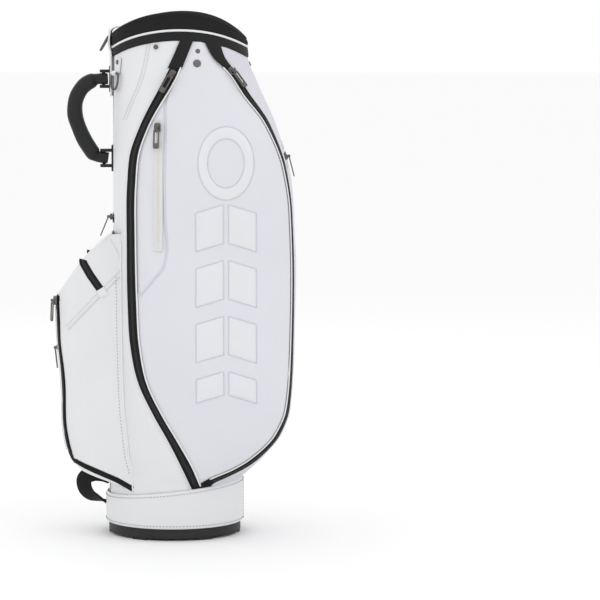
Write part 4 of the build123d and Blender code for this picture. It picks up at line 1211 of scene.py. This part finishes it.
# seams and stitch lines of the pocket
runs = []
for pts in (((79, 447), (126, 400), (172, 352)), ((86, 451), (132, 404), (176, 359)),
            ((84, 470), (92, 488), (101, 503))):
    run = smooth_run(pts, 90)
    v_run = pocket_v(run[:, 0], run[:, 1])
    shown = v_run > 0.01
    v_run, z_run = v_run[shown], run[shown, 1]
    runs.append((on_pocket(v_run, z_run, 0.1 + 0 * v_run), pocket_normal(v_run, z_run)))
both(stitches("pocket_seam_stitch", runs), THREAD, "bag")
run = smooth_run(((80, 449), (127, 402), (173, 355)), 120)
v_run = pocket_v(run[:, 0], run[:, 1])
cord_n = pocket_normal(v_run, run[:, 1])
both(tube("pocket_seam_cord", on_pocket(v_run, run[:, 1], 0.0 * v_run), 0.9, normals=cord_n), WHITE, "bag")
jz = np.linspace(80, 500, 240)
join_pts = on_pocket(0.03 + 0 * jz, jz)
join_n = pocket_normal(0.05 + 0 * jz, jz)
both(tube("pocket_piping", join_pts + join_n * 0.2, 1.4), PIPING, "bag")
jz = np.linspace(112, 440, 200)
join_run = (on_pocket(0.075 + 0 * jz, jz, 0.1 + 0 * jz), pocket_normal(0.075 + 0 * jz, jz))
both(stitches("pocket_join_stitch", [join_run], 5.6, 2.6, 1.0, 0.4), THREAD_GREY, "bag")
cz = np.linspace(140, 400, 150)
for shift, tag in ((-1.5, "a"), (DOOR_ZIP + 1.5, "b")):
    cv = pocket_v_back(DOOR_HALF + shift + 0 * cz, cz)
    both(tube("door_lip." + tag, on_pocket(cv, cz, 0.3 + 0 * cz), 0.9), WHITE, "bag")

# level zip above the pocket
level_zip("back", 46, 535.0, 70, tape_half=7.2, tape_off=0.8, coil_off=0.8)

# ------------------------------------------------------------------ webbing loop at the foot
LOOP = ((111, 84), (124, 93), (136, 96.5), (148, 94), (154, 87), (154, 78), (150, 68), (143, 61), (134, 57),
        (124, 53), (116, 50))
mid, n, b = plane_path(LOOP, 120)
outline = []
for k in np.linspace(0, 2 * np.pi, 40, endpoint=False):
    c, s = math.cos(k), math.sin(k)
    across = 15.0 * math.copysign(abs(c) ** 0.25, c)
    thick = 2.2 * math.copysign(abs(s) ** 0.6, s)
    outline.append((across, thick + 0.25 * math.cos(across * 1.6)))
turn = math.radians(58) * np.sin(np.pi * np.linspace(0, 1, len(mid)))[:, None]
b, n = b * np.cos(turn) + n * np.sin(turn), n * np.cos(turn) - b * np.sin(turn)
grid = np.array([[mid[i] + b[i] * a + n[i] * h for a, h in outline] for i in range(len(mid))])
finish(new_object("loop_webbing", grid.reshape(-1, 3), grid_faces(120, 40, True)), WEBBING, "bag", "lower_loop",
       slot="webbing")

# ------------------------------------------------------------------ padded grab handle
HANDLE = ((110, 767), (130, 766), (148, 757), (162, 737), (165.5, 709), (158, 683), (144, 655), (129, 637),
          (110, 634))
mid, n, b = plane_path(HANDLE, 260)
s = np.linspace(0, 1, 260)
grip = 1 / (1 + np.exp(-(s - 0.115) / 0.008)) / (1 + np.exp((s - 0.885) / 0.008))
wide = 9.5 + 4.6 * grip
deep = 9.2 + 3.6 * grip
ang = np.linspace(0, 2 * np.pi, ROUND, endpoint=False)
ripple = 1 + 0.018 * soft(mid, 12, 40, 71)
ca, sa = np.cos(ang)[None, :], np.sin(ang)[None, :]
seam_cut = 1 - 0.10 * np.exp(-((ang - np.pi * 1.5) / 0.10) ** 2)[None, :] * grip[:, None]
ex = np.sign(ca) * np.abs(ca) ** 0.8 * wide[:, None] * ripple[:, None]
ey = np.sign(sa) * np.abs(sa) ** 0.8 * deep[:, None] * ripple[:, None] * seam_cut
grid = mid[:, None, :] + b[:, None, :] * ex[..., None] + n[:, None, :] * ey[..., None]
faces = grid_faces(260, ROUND, True)
last = 260 * ROUND
faces += [list(range(ROUND))[::-1], list(range(last - ROUND, last))]
finish(new_object("handle_grip", grid.reshape(-1, 3), faces), BLACK_LEATHER, "grab_handle", "grab_handle",
       slot="handle_cover", padded=0.85)
runs = []
for side in (-1, 1):
    for level in (-1, 1):
        row = mid + b * (side * (wide * 0.985))[:, None] + n * (level * 2.6)
        shown = (s > 0.13) & (s < 0.86)
        runs.append((row[shown], (b * side)[shown]))
finish(stitches("handle_stitch", runs, 3.6, 2.3, 0.7, 0.3), THREAD_BLACK, "grab_handle")

# ------------------------------------------------------------------ lining and dividers inside
def hanging(name, x0, y0, x1, y1, seed):
    """Cloth divider hung from the top frame, between two upright lines."""
    wide = math.hypot(x1 - x0, y1 - y0)
    u = np.linspace(0, 1, 60 // FINE)
    z = np.linspace(18, 778, 200 // FINE)
    uu, zz = np.meshgrid(u, z)
    flat = np.stack([x0 + (x1 - x0) * uu, y0 + (y1 - y0) * uu, zz], -1)
    side = np.array([-(y1 - y0) / wide, (x1 - x0) / wide, 0.0])
    sway = 1.6 * soft(flat, 60, 220, seed) * np.sin(np.pi * uu) * np.sin(np.pi * (zz - 18) / 760)
    return sheet_object(name, flat + side * sway[..., None], thick=0.8), wide


DIVIDERS = ((-91, 28, 91, 28), (-87, -38, 87, -38), (0, 29, 0, 95), (0, -37, 0, 27), (0, -39, 0, -95))
for k, (x0, y0, x1, y1) in enumerate(DIVIDERS):
    obj, wide = hanging("divider_%d" % (k + 1), x0, y0, x1, y1, 80 + k)
    finish(obj, LINING, "bag", *(["club_dividers"] if k == 0 else []), slot="lining")


# ------------------------------------------------------------------ frame parts kept, with their finish
def keep(name, mat):
    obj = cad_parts[name]
    obj.data.materials.clear()
    obj.data.materials.append(mat)
    for p in obj.data.polygons:
        p.material_index = 0


keep("base_cup", SHELL)
keep("base_lugs", RUBBER)
keep("top_frame", SHELL)
keep("divider_bars", SHELL)
keep("body_tube", LINING)
keep("handle_anchors", BLACK_LEATHER)
keep("rivets", GUN)
keep("snaps", GUN)
keep("top_ring", GUN)
for side in ("left", "right"):
    keep("ring_tab_" + side, WHITE)
    keep("d_ring_" + side, GUN)
for kind in ("rear", "fore", "lane"):
    for side in ("left", "right"):
        keep("%s_zip_slider_%s" % (kind, side), GUN)
        keep("%s_zip_pull_%s" % (kind, side), GUN)
for kind in ("front", "back", "door", "accessory"):
    keep(kind + "_zip_slider", GUN)
    keep(kind + "_zip_pull", GUN)

# ------------------------------------------------------------------ floor, light and camera
def stage_plane(name, size, z, colour):
    mesh = bpy.data.meshes.new(name)
    s = size / 2
    mesh.from_pydata([(-s, -s, z), (s, -s, z), (s, s, z), (-s, s, z)], [], [(0, 1, 2, 3)])
    obj = bpy.data.objects.new(name, mesh)
    bpy.context.scene.collection.objects.link(obj)
    mat = bpy.data.materials.new(name)
    mat.use_nodes = True
    bsdf = mat.node_tree.nodes["Principled BSDF"]
    bsdf.inputs["Base Color"].default_value = (*colour, 1)
    bsdf.inputs["Roughness"].default_value = 0.8
    mesh.materials.append(mat)
    return obj


stage_plane("floor", 60.0, 0.0, (0.955, 0.955, 0.955))


def area(name, place, aim, size, power):
    light = bpy.data.lights.new(name, "AREA")
    light.shape = "RECTANGLE"
    light.size, light.size_y = size
    light.energy = power
    obj = bpy.data.objects.new(name, light)
    obj.location = place
    obj.rotation_euler = (Vector(aim) - Vector(place)).to_track_quat("-Z", "Y").to_euler()
    bpy.context.scene.collection.objects.link(obj)
    return obj


area("key", (-2.6, -1.9, 2.6), (0, 0, 0.5), (2.0, 2.0), 9)
area("side", (-2.2, 2.6, 1.6), (0, 0, 0.5), (1.6, 2.2), 5)
area("top", (0, 0, 3.4), (0, 0, 0), (3.0, 3.0), 6)
area("rim", (2.4, 1.0, 2.2), (0, 0, 0.6), (1.5, 2.0), 5)
world = bpy.data.worlds.new("studio")
world.use_nodes = True
world.node_tree.nodes["Background"].inputs["Color"].default_value = (1, 1, 1, 1)
world.node_tree.nodes["Background"].inputs["Strength"].default_value = 1.0
bpy.context.scene.world = world

lens = bpy.data.cameras.new("photo")
lens.lens = 196.0
lens.sensor_width = 36.0
camera = bpy.data.objects.new("photo", lens)
camera.location = (-5.495, -0.24, 0.92)
yaw = math.radians(2.218) - math.atan2(0.24, 5.495)
pitch = math.radians(-5.47)
look = Vector((math.cos(pitch) * math.cos(yaw), -math.cos(pitch) * math.sin(yaw), math.sin(pitch)))
camera.rotation_euler = look.to_track_quat("-Z", "Y").to_euler()
bpy.context.scene.collection.objects.link(camera)
bpy.context.scene.camera = camera
bpy.context.scene.view_settings.view_transform = "Standard"
